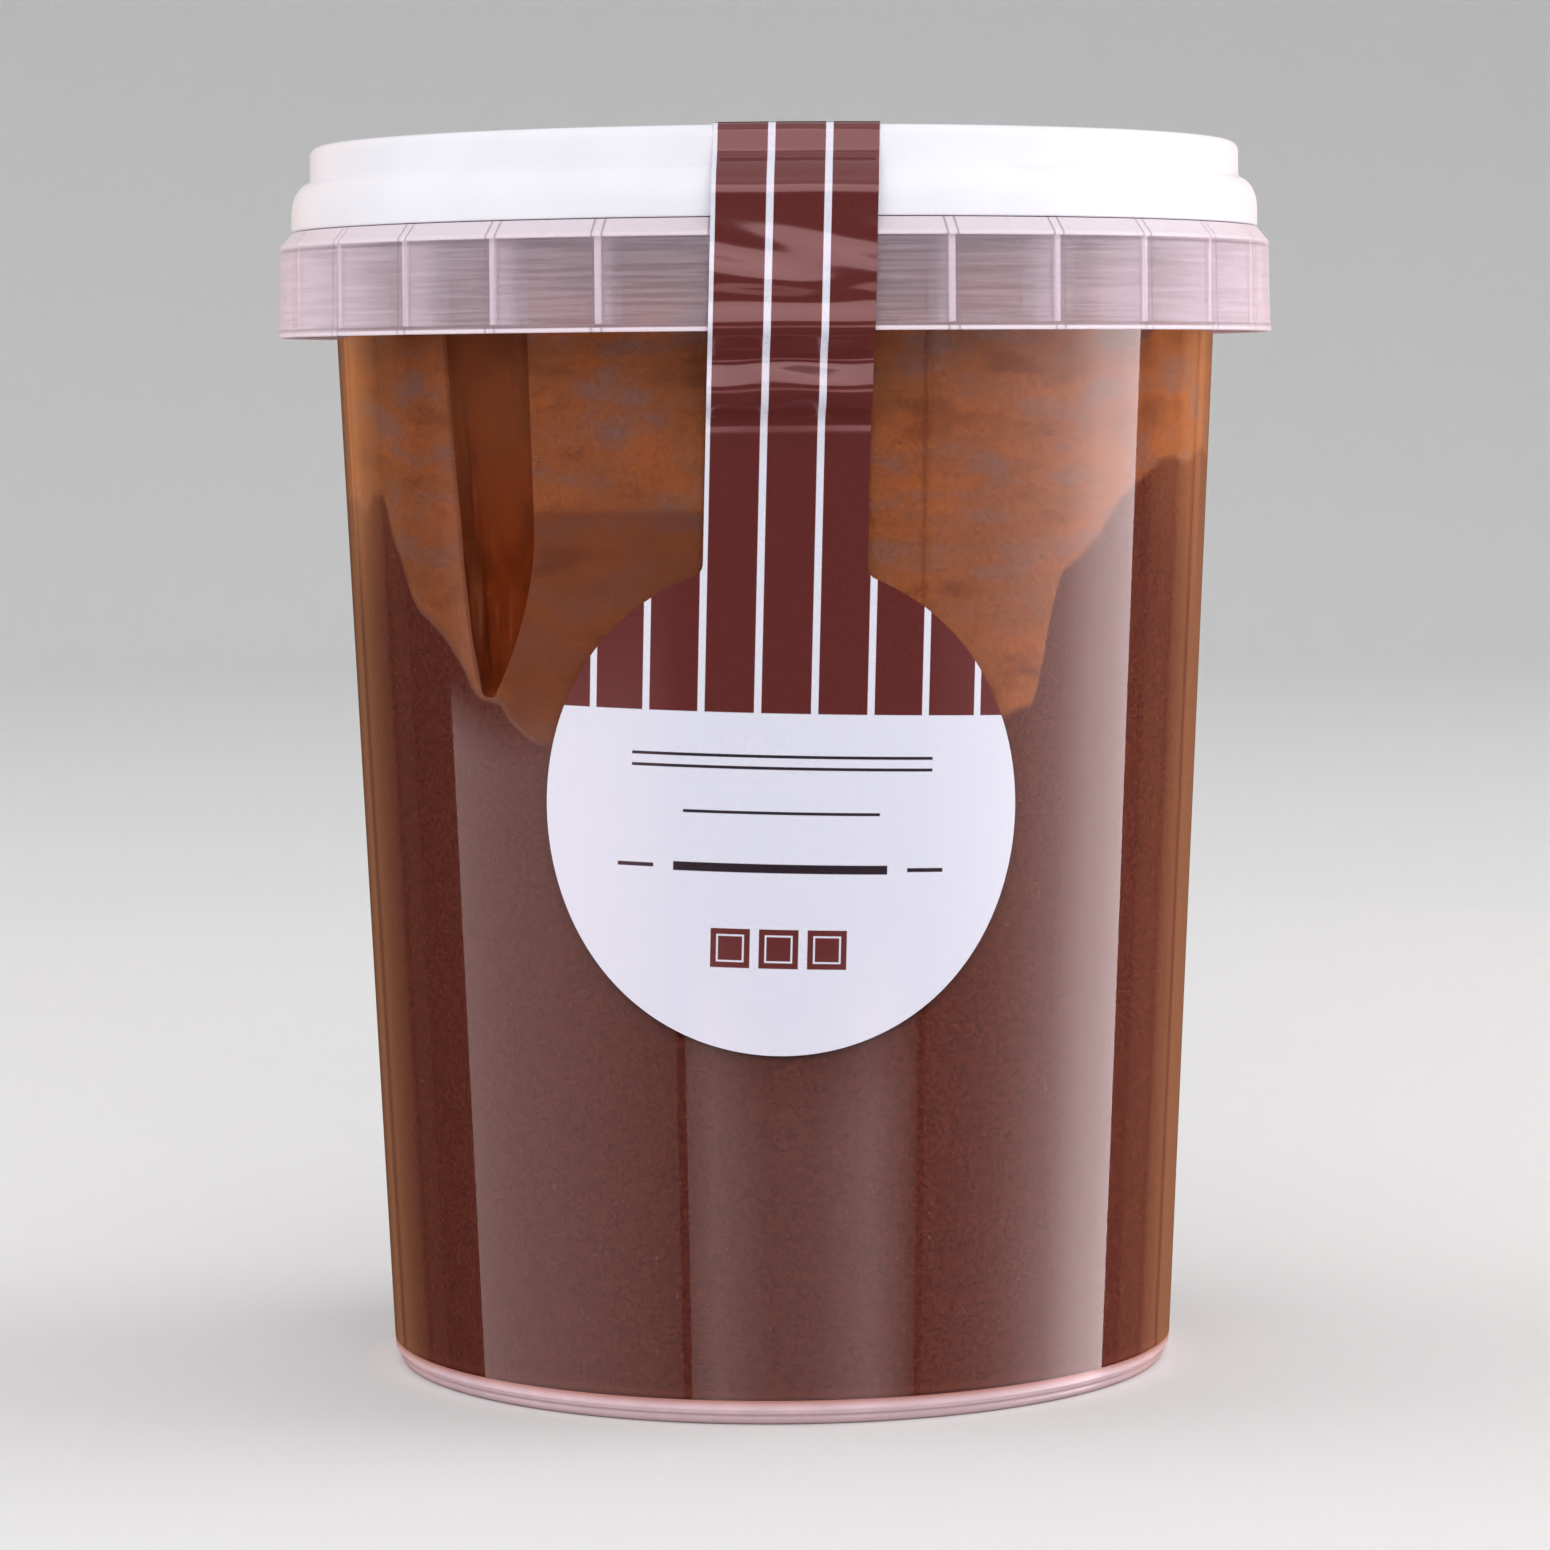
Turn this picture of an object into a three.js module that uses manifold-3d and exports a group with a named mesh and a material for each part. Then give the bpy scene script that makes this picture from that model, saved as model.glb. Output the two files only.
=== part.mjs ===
// A shut one-litre tub of chocolate cream, in millimetres with +Z up. The origin is the centre of
// the base, and the front, where the label is, faces -Y. The clear tapered tub carries a collar
// stiffened by webs, and a white lid snaps over its rim. The cream fills the tub, apart from a
// tongue-shaped air gap behind the upper wall. One paper label runs from the top of the lid, over
// its edge and the collar, down to a round badge on the wall.

import * as THREE from "three";
import { mergeVertices } from "three/addons/utils/BufferGeometryUtils.js";
import Module from "manifold-3d";

// Driving dimensions. The collar's lower edge is the widest place.
const collarRadius = 59;
const totalHeight = 144.8;
const webCount = 28;
const segments = 2 * webCount;
const fitGap = 0.3;

const tub = {
  wall: 0.9,
  radiusAtBase: 46.66, // of the tapered outer wall, carried down to the table
  taper: 0.04484, // millimetres of radius for each millimetre of height
  footInner: 43.9,
  footOuter: 45.3,
  footRadius: 46.15,
  footStep: 1.15, // height of the small step round the foot
  underside: 1.5,
  floor: 2.6,
  wallTop: 131.5,
  collarBottom: 122.4,
  collarTop: 133,
  collarTopRadius: 58.7,
  collarWall: 1.0,
  ledge: 134.5, // the flat ring that the lid's edge comes down to
  ledgeRadius: 57.3,
  ledgeThickness: 1.4,
  rimWallRadius: 55.55,
  rimRadius: 55.9,
  rimMouth: 53.4,
  rimTop: 138.7,
  flareBottom: 133.4, // inside, the wall widens to the mouth between these two heights
  flareTop: 135.6,
  webThickness: 0.8,
  webBottom: 123.3,
};

const lid = {
  top: totalHeight,
  skirtRadius: 57.35,
  skirtBottom: tub.ledge + fitGap,
  skirtWall: 1.05,
  shoulderStart: 136.8, // the skirt curves in from here
  shoulderEnd: 140.5,
  crownRadius: 55.1,
  crownWall: 1.1,
  crownInner: 50.7, // inner foot of the raised rim round the panel
  panelTop: 141.6,
  panelThickness: 1.1,
  plugOuter: 52.5,
  plugInner: 51.1,
  plugBottom: 137.5,
};

const cream = {
  level: 136.8,
  wave: 0.15, // height of the unevenness of its top
  tongue: {
    // the air gap between cream and wall, left of the label, in degrees from the front
    tipAzimuth: -40.2,
    tipHeight: 81.5,
    topHeight: 122, // it keeps its full width above this
    leftReach: 5.5,
    rightReach: 8.1,
    depth: 2.4,
  },
  rowsBelowTongue: 4,
  rowsAlongTongue: 9,
};

const label = {
  thickness: 0.3,
  badgeRadius: 27.6,
  badgeHeight: 69.7,
  badgeShift: 0.3, // of the badge's centre to the right of the tub's axis
  lean: 1.7, // degrees that the label's top leans to the right
  strapWidth: 18.2,
  strapShift: -0.2,
  neckRadius: 1.5, // of the hollow corners where the strap meets the badge
  endRadius: 4, // of the corners of the strap's end on the lid
  reachOnLid: 27, // distance of the strap's end from the axis
  leavesWall: 112, // above this height the strap bridges out to the collar
  columns: 10,
  badgeRows: 16,
};

const degrees = Math.PI / 180;

function wallRadius(z) {
  return tub.radiusAtBase + tub.taper * z;
}

// Points of an elliptic arc in the profile plane, from angle a to angle b in degrees.
function arc(centreR, centreZ, radiusR, radiusZ, a, b, steps) {
  return Array.from({ length: steps + 1 }, (_, i) => {
    const angle = (a + ((b - a) * i) / steps) * degrees;
    return [centreR + radiusR * Math.cos(angle), centreZ + radiusZ * Math.sin(angle)];
  });
}

// A closed body of revolution about Z, from a profile of [radius, height] points.
function turned(profile) {
  const points = profile.map(([r, z]) => new THREE.Vector2(r, z));
  return new THREE.LatheGeometry(points, segments).rotateX(Math.PI / 2);
}

function tubProfile() {
  const stepTop = tub.footStep + 0.3;
  const collarInner = collarRadius - tub.collarWall;
  const flangeUnder = tub.ledge - tub.ledgeThickness;
  const innerFoot = wallRadius(tub.floor) - tub.wall;
  const outside = [
    [0, tub.underside],
    [tub.footInner - 1.1, tub.underside],
    [tub.footInner, 0],
    [tub.footOuter, 0],
    ...arc(tub.footOuter, 0.85, 0.85, 0.85, -60, 0, 2),
    [tub.footRadius, tub.footStep],
    [wallRadius(stepTop) - 0.15, stepTop],
    [wallRadius(stepTop + 0.7), stepTop + 0.7],
    [wallRadius(tub.wallTop), tub.wallTop],
    [wallRadius(tub.wallTop) + 0.9, flangeUnder],
  ];
  const collar = [
    [collarInner - 0.1, flangeUnder],
    [collarInner + 0.15, tub.collarBottom + 0.2],
    [collarInner + 0.35, tub.collarBottom],
    [collarRadius - 0.15, tub.collarBottom],
    [collarRadius, tub.collarBottom + 0.15],
    [collarRadius, tub.collarBottom + 0.9],
    [tub.collarTopRadius, tub.collarTop],
    [tub.collarTopRadius - 0.3, tub.collarTop + 0.4],
    [tub.ledgeRadius, tub.ledge],
  ];
  const rim = [
    [tub.rimWallRadius, tub.ledge],
    [tub.rimWallRadius, tub.rimTop - 1.7],
    [tub.rimRadius, tub.rimTop - 1.2],
    ...arc(tub.rimRadius - 0.9, tub.rimTop - 0.9, 0.9, 0.9, 0, 90, 2),
    ...arc(tub.rimMouth + 0.8, tub.rimTop - 0.8, 0.8, 0.8, 90, 180, 2),
    [tub.rimMouth, tub.flareTop],
  ];
  const inside = [
    [wallRadius(tub.flareBottom) - tub.wall, tub.flareBottom],
    ...arc(innerFoot - 1, tub.floor + 1, 1, 1, 0, -90, 2),
    [0, tub.floor],
  ];
  return [...outside, ...collar, ...rim, ...inside];
}

function lidProfile() {
  const inner = lid.skirtRadius - lid.skirtWall;
  const underPanel = lid.panelTop - lid.panelThickness;
  const hollowTop = lid.top - lid.crownWall;
  const hollowOuter = lid.crownRadius - lid.crownWall;
  const shoulderWidth = lid.skirtRadius - lid.crownRadius - 0.05;
  const shoulderHeight = lid.shoulderEnd - lid.shoulderStart;
  const underneath = [
    [0, underPanel],
    [lid.plugInner, underPanel],
    [lid.plugInner, lid.plugBottom + 0.3],
    [lid.plugInner + 0.4, lid.plugBottom],
    [lid.plugOuter - 0.4, lid.plugBottom],
    [lid.plugOuter, lid.plugBottom + 0.5],
    [lid.plugOuter - 0.1, hollowTop],
    [hollowOuter, hollowTop],
    [hollowOuter, lid.shoulderEnd],
    [inner, lid.shoulderEnd - 2],
    [inner, lid.skirtBottom + 0.2],
    [inner + 0.2, lid.skirtBottom],
  ];
  const outside = [
    [lid.skirtRadius - 0.2, lid.skirtBottom],
    [lid.skirtRadius, lid.skirtBottom + 0.2],
    ...arc(
      lid.skirtRadius - shoulderWidth,
      lid.shoulderStart,
      shoulderWidth,
      shoulderHeight,
      0,
      78,
      4,
    ),
    [lid.crownRadius + 0.05, lid.shoulderEnd + 0.1],
    ...arc(lid.crownRadius - 1.2, lid.top - 1.2, 1.2, 1.2, 0, 90, 3),
    ...arc(lid.crownInner + 1.1, lid.top - 1, 1, 1, 90, 170, 2),
    [lid.crownInner - 0.4, lid.panelTop + 0.5],
    [lid.crownInner - 1.2, lid.panelTop],
    [0, lid.panelTop],
  ];
  return [...underneath, ...outside];
}

// How far up the tongue-shaped gap a height lies, from 0 at its tip to 1 at its full width.
function tongueShare(z) {
  const { tipHeight, topHeight } = cream.tongue;
  return THREE.MathUtils.clamp((z - tipHeight) / (topHeight - tipHeight), 0, 1);
}

// The gap's left edge, middle and right edge at a height, in degrees from the front.
function tongueAzimuths(z) {
  const { tipAzimuth, leftReach, rightReach } = cream.tongue;
  const share = tongueShare(z);
  const left = tipAzimuth - leftReach * Math.pow(share, 0.45);
  const right = tipAzimuth + rightReach * (1 - Math.max(1 - 2 * share, 0) ** 2);
  return [left, (left + right) / 2, right];
}

function creamProfile() {
  const bottom = tub.floor + 1.2;
  const tip = cream.tongue.tipHeight;
  const top = tub.flareBottom + 0.15;
  const heights = [];
  for (let i = 0; i < cream.rowsBelowTongue; i++)
    heights.push(bottom + ((tip - bottom) * i) / cream.rowsBelowTongue);
  for (let i = 0; i <= cream.rowsAlongTongue; i++)
    heights.push(tip + (top - tip) * Math.pow(i / cream.rowsAlongTongue, 1.6));
  return [
    [0, tub.floor + fitGap],
    [wallRadius(0) - tub.wall - 1.4, tub.floor + fitGap],
    ...heights.map((z) => [wallRadius(z) - tub.wall - fitGap, z]),
    [tub.rimMouth - fitGap - 0.1, tub.flareTop + 0.15],
    [tub.rimMouth - fitGap - 0.1, cream.level - 0.8],
    [tub.rimMouth - fitGap - 0.9, cream.level - 0.1],
    [36, cream.level],
    [18, cream.level],
    [0, cream.level],
  ];
}

// The three columns of corners nearest to the tongue move to its edges and its middle, and the
// middle one stands back from the wall.
function creamGeometry() {
  const geometry = turned(creamProfile());
  const position = geometry.getAttribute("position");
  const point = new THREE.Vector3();
  const columnWidth = 360 / segments;
  const middle = Math.round(cream.tongue.tipAzimuth / columnWidth);
  for (let i = 0; i < position.count; i++) {
    point.fromBufferAttribute(position, i);
    const radius = Math.hypot(point.x, point.y);
    const column = Math.round(Math.atan2(point.x, -point.y) / degrees / columnWidth);
    const share = tongueShare(point.z);
    if (radius > 40 && share > 0 && Math.abs(column - middle) < 2) {
      const depth = column === middle ? cream.tongue.depth * Math.min(6 * share, 1) : 0;
      const azimuth = tongueAzimuths(point.z)[column - middle + 1] * degrees;
      point.x = (radius - depth) * Math.sin(azimuth);
      point.y = -(radius - depth) * Math.cos(azimuth);
    }
    if (point.z > cream.level - 0.5 && radius > 1)
      point.z += cream.wave * Math.sin(0.11 * point.x + 0.07 * point.y);
    position.setXYZ(i, point.x, point.y, point.z);
  }
  return geometry;
}

// The line that the label's back follows, as [radius, height] points. It keeps clear of the wall,
// the collar's edge, the lid's skirt and crown, and the lid's panel.
function labelLine() {
  const off = fitGap + 0.1;
  const wallFoot = label.badgeHeight - label.badgeRadius - 3;
  const panel = lid.panelTop + off;
  return [
    [wallRadius(wallFoot) + off, wallFoot],
    [wallRadius(80) + off, 80],
    [wallRadius(label.leavesWall - 8) + off, label.leavesWall - 8],
    [wallRadius(label.leavesWall) + off, label.leavesWall],
    [wallRadius(116) + 1.4, 116],
    [collarRadius - 0.9, tub.collarBottom - 1.4],
    [collarRadius + off, tub.collarBottom + 0.2],
    [tub.collarTopRadius + off + 0.15, tub.collarTop - 3],
    [tub.collarTopRadius + off, tub.collarTop],
    [lid.skirtRadius + off + 0.2, lid.shoulderStart],
    [lid.skirtRadius + off - 0.5, lid.shoulderEnd - 1],
    [lid.crownRadius + off + 0.4, lid.shoulderEnd + 0.8],
    [lid.crownRadius + off, lid.top - 1.6],
    [lid.crownRadius - 0.1, lid.top - 0.1],
    [lid.crownRadius - 1.4, lid.top + off],
    [lid.crownInner + 1.2, lid.top + off],
    [lid.crownInner - 1.6, lid.panelTop + off + 1.6],
    [lid.crownInner - 5, panel],
    [lid.crownInner - 9, panel],
    [label.reachOnLid + 8, panel],
    [label.reachOnLid, panel],
  ];
}

function labelGeometry() {
  const stops = labelLine().map(([r, z]) => new THREE.Vector3(r, 0, z));
  const line = new THREE.CatmullRomCurve3(stops, false, "centripetal");
  const spanRows = 2;
  line.arcLengthDivisions = 100 * (stops.length - 1);
  const length = line.getLength();
  const centre = (label.badgeHeight - stops[0].z) * Math.hypot(1, tub.taper);
  const end = length - centre - 0.5;
  const halfStrap = label.strapWidth / 2;
  const neck = Math.sqrt(label.badgeRadius ** 2 - halfStrap ** 2) + label.neckRadius;

  // Heights of the rows above the badge's centre, measured along the label. The strap has a row at
  // each stop of its line and between them.
  const badgeRows = Array.from({ length: label.badgeRows }, (_, i) => {
    const angle = 0.1 + ((Math.PI - 0.45) * i) / (label.badgeRows - 1);
    return -label.badgeRadius * Math.cos(angle);
  });
  const strapRows = line
    .getLengths()
    .filter((_, i) => i % (100 / spanRows) === 0)
    .map((along) => along - centre)
    .filter((t) => t > neck && t < end - label.endRadius);
  const endRows = [1, 0.55, 0.2, 0].map((share) => end - label.endRadius * share);
  const rows = [...badgeRows, neck, ...strapRows, ...endRows];

  // The label's two edges at a height, across its own middle line.
  function edges(t) {
    const circle = Math.sqrt(Math.max(label.badgeRadius ** 2 - t ** 2, 0));
    const intoEnd = Math.max(t - (end - label.endRadius), 0);
    const rounding = label.endRadius - Math.sqrt(Math.max(label.endRadius ** 2 - intoEnd ** 2, 0));
    const strap = halfStrap - rounding;
    return t < neck - label.neckRadius
      ? [-circle, circle]
      : [label.strapShift - strap, label.strapShift + strap];
  }

  // A point of the label, across it, along it and out from its back.
  function place(x, t, out) {
    const lean = label.lean * degrees;
    const across = label.badgeShift + x * Math.cos(lean) + t * Math.sin(lean);
    const along = centre + t * Math.cos(lean) - x * Math.sin(lean);
    const at = THREE.MathUtils.clamp(along / length, 0, 1);
    const back = line.getPointAt(at);
    const tangent = line.getTangentAt(at);
    const radius = back.x + out * tangent.z;
    const bend = Math.max(radius, 45);
    return new THREE.Vector3(
      bend * Math.sin(across / bend),
      bend - radius - bend * Math.cos(across / bend),
      back.z - out * tangent.x,
    );
  }

  const columns = label.columns + 1;
  const layer = rows.length * columns;
  const positions = [];
  for (const out of [0, label.thickness])
    for (const t of rows) {
      const [left, right] = edges(t);
      for (let j = 0; j < columns; j++) {
        const x = left + ((right - left) * j) / label.columns;
        positions.push(...place(x, t, out).toArray());
      }
    }

  const triangles = [];
  function quad(a, b, c, d) {
    triangles.push(a, b, c, a, c, d);
  }
  for (let i = 0; i < rows.length - 1; i++)
    for (let j = 0; j < label.columns; j++) {
      const at = i * columns + j;
      quad(layer + at, layer + at + 1, layer + at + columns + 1, layer + at + columns);
      quad(at, at + columns, at + columns + 1, at + 1);
    }
  for (let i = 0; i < rows.length - 1; i++) {
    const left = i * columns;
    const right = left + label.columns;
    quad(left, layer + left, layer + left + columns, left + columns);
    quad(right, right + columns, layer + right + columns, layer + right);
  }
  for (let j = 0; j < label.columns; j++) {
    const top = layer - columns + j;
    quad(j, j + 1, layer + j + 1, layer + j);
    quad(top, layer + top, layer + top + 1, top + 1);
  }
  return new THREE.BufferGeometry()
    .setAttribute("position", new THREE.Float32BufferAttribute(positions, 3))
    .setIndex(triangles);
}

// The webs stand between the wall and the collar, under the ledge, one beside each front middle.
function webGeometries() {
  const inner = wallRadius(tub.webBottom) - 0.3;
  const outer = collarRadius - tub.collarWall + 0.4;
  const top = tub.ledge - tub.ledgeThickness + 0.2;
  return Array.from({ length: webCount }, (_, i) => {
    const azimuth = (2 * Math.PI * (i + 0.5)) / webCount;
    return new THREE.BoxGeometry(tub.webThickness, outer - inner, top - tub.webBottom)
      .translate(0, -(outer + inner) / 2, (top + tub.webBottom) / 2)
      .rotateZ(azimuth);
  });
}

const wasm = await Module();
wasm.setup();

function solidOf(geometry) {
  const bare = geometry.clone();
  bare.deleteAttribute("normal");
  bare.deleteAttribute("uv");
  const merged = mergeVertices(bare, 1e-4);
  return new wasm.Manifold(
    new wasm.Mesh({
      numProp: 3,
      vertProperties: merged.getAttribute("position").array,
      triVerts: new Uint32Array(merged.getIndex().array),
    }),
  );
}

function joined(geometries) {
  const solid = geometries.map(solidOf).reduce((whole, piece) => whole.add(piece));
  const mesh = solid.getMesh();
  return new THREE.BufferGeometry()
    .setAttribute("position", new THREE.BufferAttribute(mesh.vertProperties, 3))
    .setIndex(new THREE.BufferAttribute(mesh.triVerts, 1));
}

const finishes = {
  tub: { color: 0xe6d9dd, roughness: 0.25, metalness: 0, transparent: true, opacity: 0.4 },
  lid: { color: 0xf9f8fb, roughness: 0.4, metalness: 0 },
  cream: { color: 0x5c3430, roughness: 0.45, metalness: 0 },
  label: { color: 0x652e2c, roughness: 0.35, metalness: 0 },
};

const shapes = {
  tub: joined([turned(tubProfile()), ...webGeometries()]),
  lid: turned(lidProfile()),
  cream: creamGeometry(),
  label: labelGeometry(),
};

const filledTub = new THREE.Group();
for (const [name, geometry] of Object.entries(shapes)) {
  geometry.computeVertexNormals();
  const mesh = new THREE.Mesh(geometry, new THREE.MeshStandardMaterial(finishes[name]));
  mesh.name = name;
  filledTub.add(mesh);
}

export default filledTub;
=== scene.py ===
"""A shut one-litre tub of chocolate cream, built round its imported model.

The clear wall, the frosted collar and the lid are turned from profiles. The cream is one closed
grid with a tongue-shaped air gap pressed into it. The webs behind the collar and the bubbles in
the cream are made by Geometry Nodes, and the label is a thin sheet that follows one line over the
whole front. Shapes are worked out in millimetres with +Z up and the front facing -Y, azimuths
count from the front to the right, and meshes are in metres.
"""

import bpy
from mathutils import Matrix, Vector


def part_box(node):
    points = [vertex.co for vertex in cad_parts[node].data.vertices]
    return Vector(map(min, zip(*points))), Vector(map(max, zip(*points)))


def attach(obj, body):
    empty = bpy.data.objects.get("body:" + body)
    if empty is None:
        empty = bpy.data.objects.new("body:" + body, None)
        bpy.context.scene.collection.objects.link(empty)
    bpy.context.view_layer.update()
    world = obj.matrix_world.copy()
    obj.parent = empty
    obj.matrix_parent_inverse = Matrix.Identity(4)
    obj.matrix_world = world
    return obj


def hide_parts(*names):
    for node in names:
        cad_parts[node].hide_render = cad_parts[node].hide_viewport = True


bl_info = {
    "name": "Tub of Chocolate Cream",
    "version": (1, 0, 0),
    "blender": (4, 5, 0),
    "location": "3D View > Sidebar > Cream Tub",
    "description": "Builds a shut, clear tub of chocolate cream with its lid and seal label",
    "category": "Add Mesh",
}

import math
from types import SimpleNamespace

import bmesh
import bpy
import numpy as np
from bpy.props import FloatProperty, FloatVectorProperty, IntProperty, PointerProperty
from bpy.types import Operator, Panel, PropertyGroup
from mathutils import Quaternion, Vector

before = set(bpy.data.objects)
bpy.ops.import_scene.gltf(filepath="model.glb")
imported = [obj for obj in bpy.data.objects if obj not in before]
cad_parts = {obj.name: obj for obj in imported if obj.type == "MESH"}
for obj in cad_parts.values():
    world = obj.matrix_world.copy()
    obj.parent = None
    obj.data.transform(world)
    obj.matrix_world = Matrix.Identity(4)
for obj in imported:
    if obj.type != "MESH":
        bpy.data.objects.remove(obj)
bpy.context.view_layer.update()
tub_low, tub_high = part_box("tub")
lid_low, lid_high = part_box("lid")
MM = 0.001
ROUND_STEPS = 224  # steps round a turned piece
ON_AXIS = 1e-6  # a smaller radius is a point on the axis
SHARP_EDGE = math.radians(38)  # faces that meet at more than this make a hard edge
GAP_TAPER = 0.3  # how bluntly the air gap's left edge runs to its tip
SMEAR_MIDDLE = -2.0  # azimuth in degrees at which the smear hangs lowest
SMEAR_REACH = 58.5  # degrees either way over which it rises
SMEAR_LOWEST = 72.0  # millimetres
SIDE_RADIUS = 40  # the cream's rings wider than this many millimetres can be pressed in
UV_SPAN = 200  # millimetres of label across the whole UV square
NECK_END = 30  # past this height on the label there is only the strap
PLASTIC_IOR = 1.49
PIXELS = 1550  # width of the picture
FOCAL = 5116  # focal length in those pixels
CAMERA_PLACE = (-0.0004, -0.6135, 0.1169)  # metres
CAMERA_PITCH, CAMERA_ROLL = math.radians(4.397), math.radians(0.42)
CARD_DISTANCE = 0.57  # metres from the tub's axis to the reflected cards
CARD_POWER = 0.01  # low, so that few light samples go to cards that matt surfaces don't see
PINK, PALE_PINK, WARM, ORANGE = (1, 0.8, 0.8), (1, 0.9, 0.91), (1, 0.45, 0.21), (1, 0.38, 0.12)
# Each card: its radiance by azimuth in degrees, its colour, its lower and upper edge in metres,
# and the shares of its height over which its upper and lower edges fade.
CARDS = {
    "left card": ({-95: 1.8, -64: 1.3, -33: 0.6, -28: 0.45}, PINK, (-0.3, 0.032), 0.06),
    "front card": (
        {-25.5: 1.0, -18: 1.9, -3: 0.85, 8: 1.0, 24: 2.2, 34: 0.8, 37: 0.3},
        PINK,
        (-0.25, -0.03),
        0.25,
    ),
    "right card": ({39: 0.2, 50: 0.4, 57: 0.65, 66: 1.2, 77: 2.2, 89: 4.3, 105: 5.4}, PALE_PINK),
    "warm left": (
        {-172: 0.1, -160: 0.2, -150: 0.45, -146: 0.2, -142: 0.5,
         -132: 0.38, -126: 0.25, -123: 0.03, -120: 0.12, -113: 0.1},
        WARM,
    ),
    "warm right": (
        {113: 0.2, 122: 0.3, 126: 0.18, 130: 0.55, 138: 0.7,
         141: 0.3, 144: 0.7, 152: 0.5, 172: 0.15},
        WARM,
    ),
    "high left": ({-150: 0.55, -130: 0.4, -108: 0.15}, ORANGE, (0.05, 0.5), 0.02, 0.1),
    "high right": ({110: 0.35, 126: 0.5, 150: 0.2}, ORANGE, (0.05, 0.5), 0.02, 0.1),
}


# ---------------------------------------------------------------- sizes and colours


def length(name, description, millimetres):
    return FloatProperty(
        name=name,
        description=description,
        default=millimetres * MM,
        unit="LENGTH",
        precision=5,
    )


def angle(name, description, degrees):
    return FloatProperty(
        name=name, description=description, default=math.radians(degrees), subtype="ANGLE"
    )


def number(name, description, value):
    return FloatProperty(name=name, description=description, default=value)


def linear(byte):
    share = byte / 255
    return share / 12.92 if share <= 0.04045 else ((share + 0.055) / 1.055) ** 2.4


def colour(name, description, red, green, blue):
    return FloatVectorProperty(
        name=name,
        description=description,
        default=(linear(red), linear(green), linear(blue)),
        subtype="COLOR",
        min=0,
        max=1,
    )


class TubSizes(PropertyGroup):
    wall: length("Wall", "Thickness of the clear wall", 0.9)
    radius_at_base: length("Radius at base", "Outer wall carried down to the table", 46.66)
    taper: number("Taper", "Radius gained per height", 0.04484)
    foot_inner: length("Foot inside", "Inner radius of the foot's flat ring", 43.9)
    foot_outer: length("Foot outside", "Outer radius of the foot's flat ring", 45.3)
    foot_radius: length("Foot radius", "Radius of the foot's small step", 46.15)
    foot_step: length("Foot step", "Height of the small step round the foot", 1.15)
    underside: length("Underside", "Height of the floor's lower face", 1.5)
    floor: length("Floor", "Height of the floor's upper face", 2.6)
    milky_to: length("Milky to", "Height up to which the foot is milky", 2.9)
    collar_radius: length("Collar radius", "Widest radius, low on the collar", tub_high.x / MM)
    collar_top_radius: length("Collar top radius", "Radius at the collar's upper edge", 58.7)
    collar_bottom: length("Collar bottom", "Height of the collar's lower edge", 122.4)
    collar_top: length("Collar top", "Height where the collar turns in", 133.0)
    collar_wall: length("Collar wall", "Thickness of the collar", 1.0)
    ledge: length("Ledge", "Height of the flat ring under the lid's edge", lid_low.z / MM - 0.1)
    ledge_radius: length("Ledge radius", "Outer radius of that flat ring", 57.3)
    rim_radius: length("Rim radius", "Outer radius of the bead that the lid grips", 55.9)
    rim_mouth: length("Rim mouth", "Radius of the mouth", 53.4)
    rim_top: length("Rim top", "Height of the rim", tub_high.z / MM)
    flare_bottom: length("Flare bottom", "Where the inside starts to widen", 133.4)
    flare_top: length("Flare top", "Where the inside has reached the mouth", 135.6)
    webs: IntProperty(name="Webs", description="Webs behind the collar", default=28)
    web: length("Web", "Thickness of a web", 0.8)
    web_bottom: length("Web bottom", "Height of a web's lower end", 123.3)
    clear: colour("Clear plastic", "Tint of the clear wall", 250, 246, 247)
    frost: colour("Frosted plastic", "Colour of the collar", 236, 215, 228)
    # Partly painted glow of light from the table through the clear foot.
    foot: colour("Foot", "Colour of the milky foot with painted glow", 229, 198, 205)
    blur: colour("Blur", "Cream seen through the top of the milky foot with painted glow", 172, 104, 88)


class LidSizes(PropertyGroup):
    top: length("Top", "Height of the raised rim", lid_high.z / MM)
    skirt_radius: length("Skirt radius", "Radius of the skirt", lid_high.x / MM)
    skirt_bottom: length("Skirt bottom", "Height of the skirt's edge", lid_low.z / MM)
    shoulder_start: length("Shoulder start", "Where the skirt starts to curve in", 136.8)
    shoulder_end: length("Shoulder end", "Where the skirt meets the crown", 140.5)
    crown_radius: length("Crown radius", "Radius of the raised rim", 55.1)
    crown_wall: length("Crown wall", "Thickness of the raised rim", 1.1)
    crown_inner: length("Crown inside", "Inner foot of the raised rim", 50.7)
    panel_top: length("Panel top", "Height of the panel", 141.6)
    panel: length("Panel", "Thickness of the panel", 1.1)
    plug_outer: length("Plug outside", "Outer radius of the ring in the mouth", 52.5)
    plug_inner: length("Plug inside", "Inner radius of the ring in the mouth", 51.1)
    plug_bottom: length("Plug bottom", "Height of that ring's lower edge", lid_low.z / MM + 2.7)
    white: colour("White plastic", "Colour of the lid", 238, 237, 243)


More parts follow.
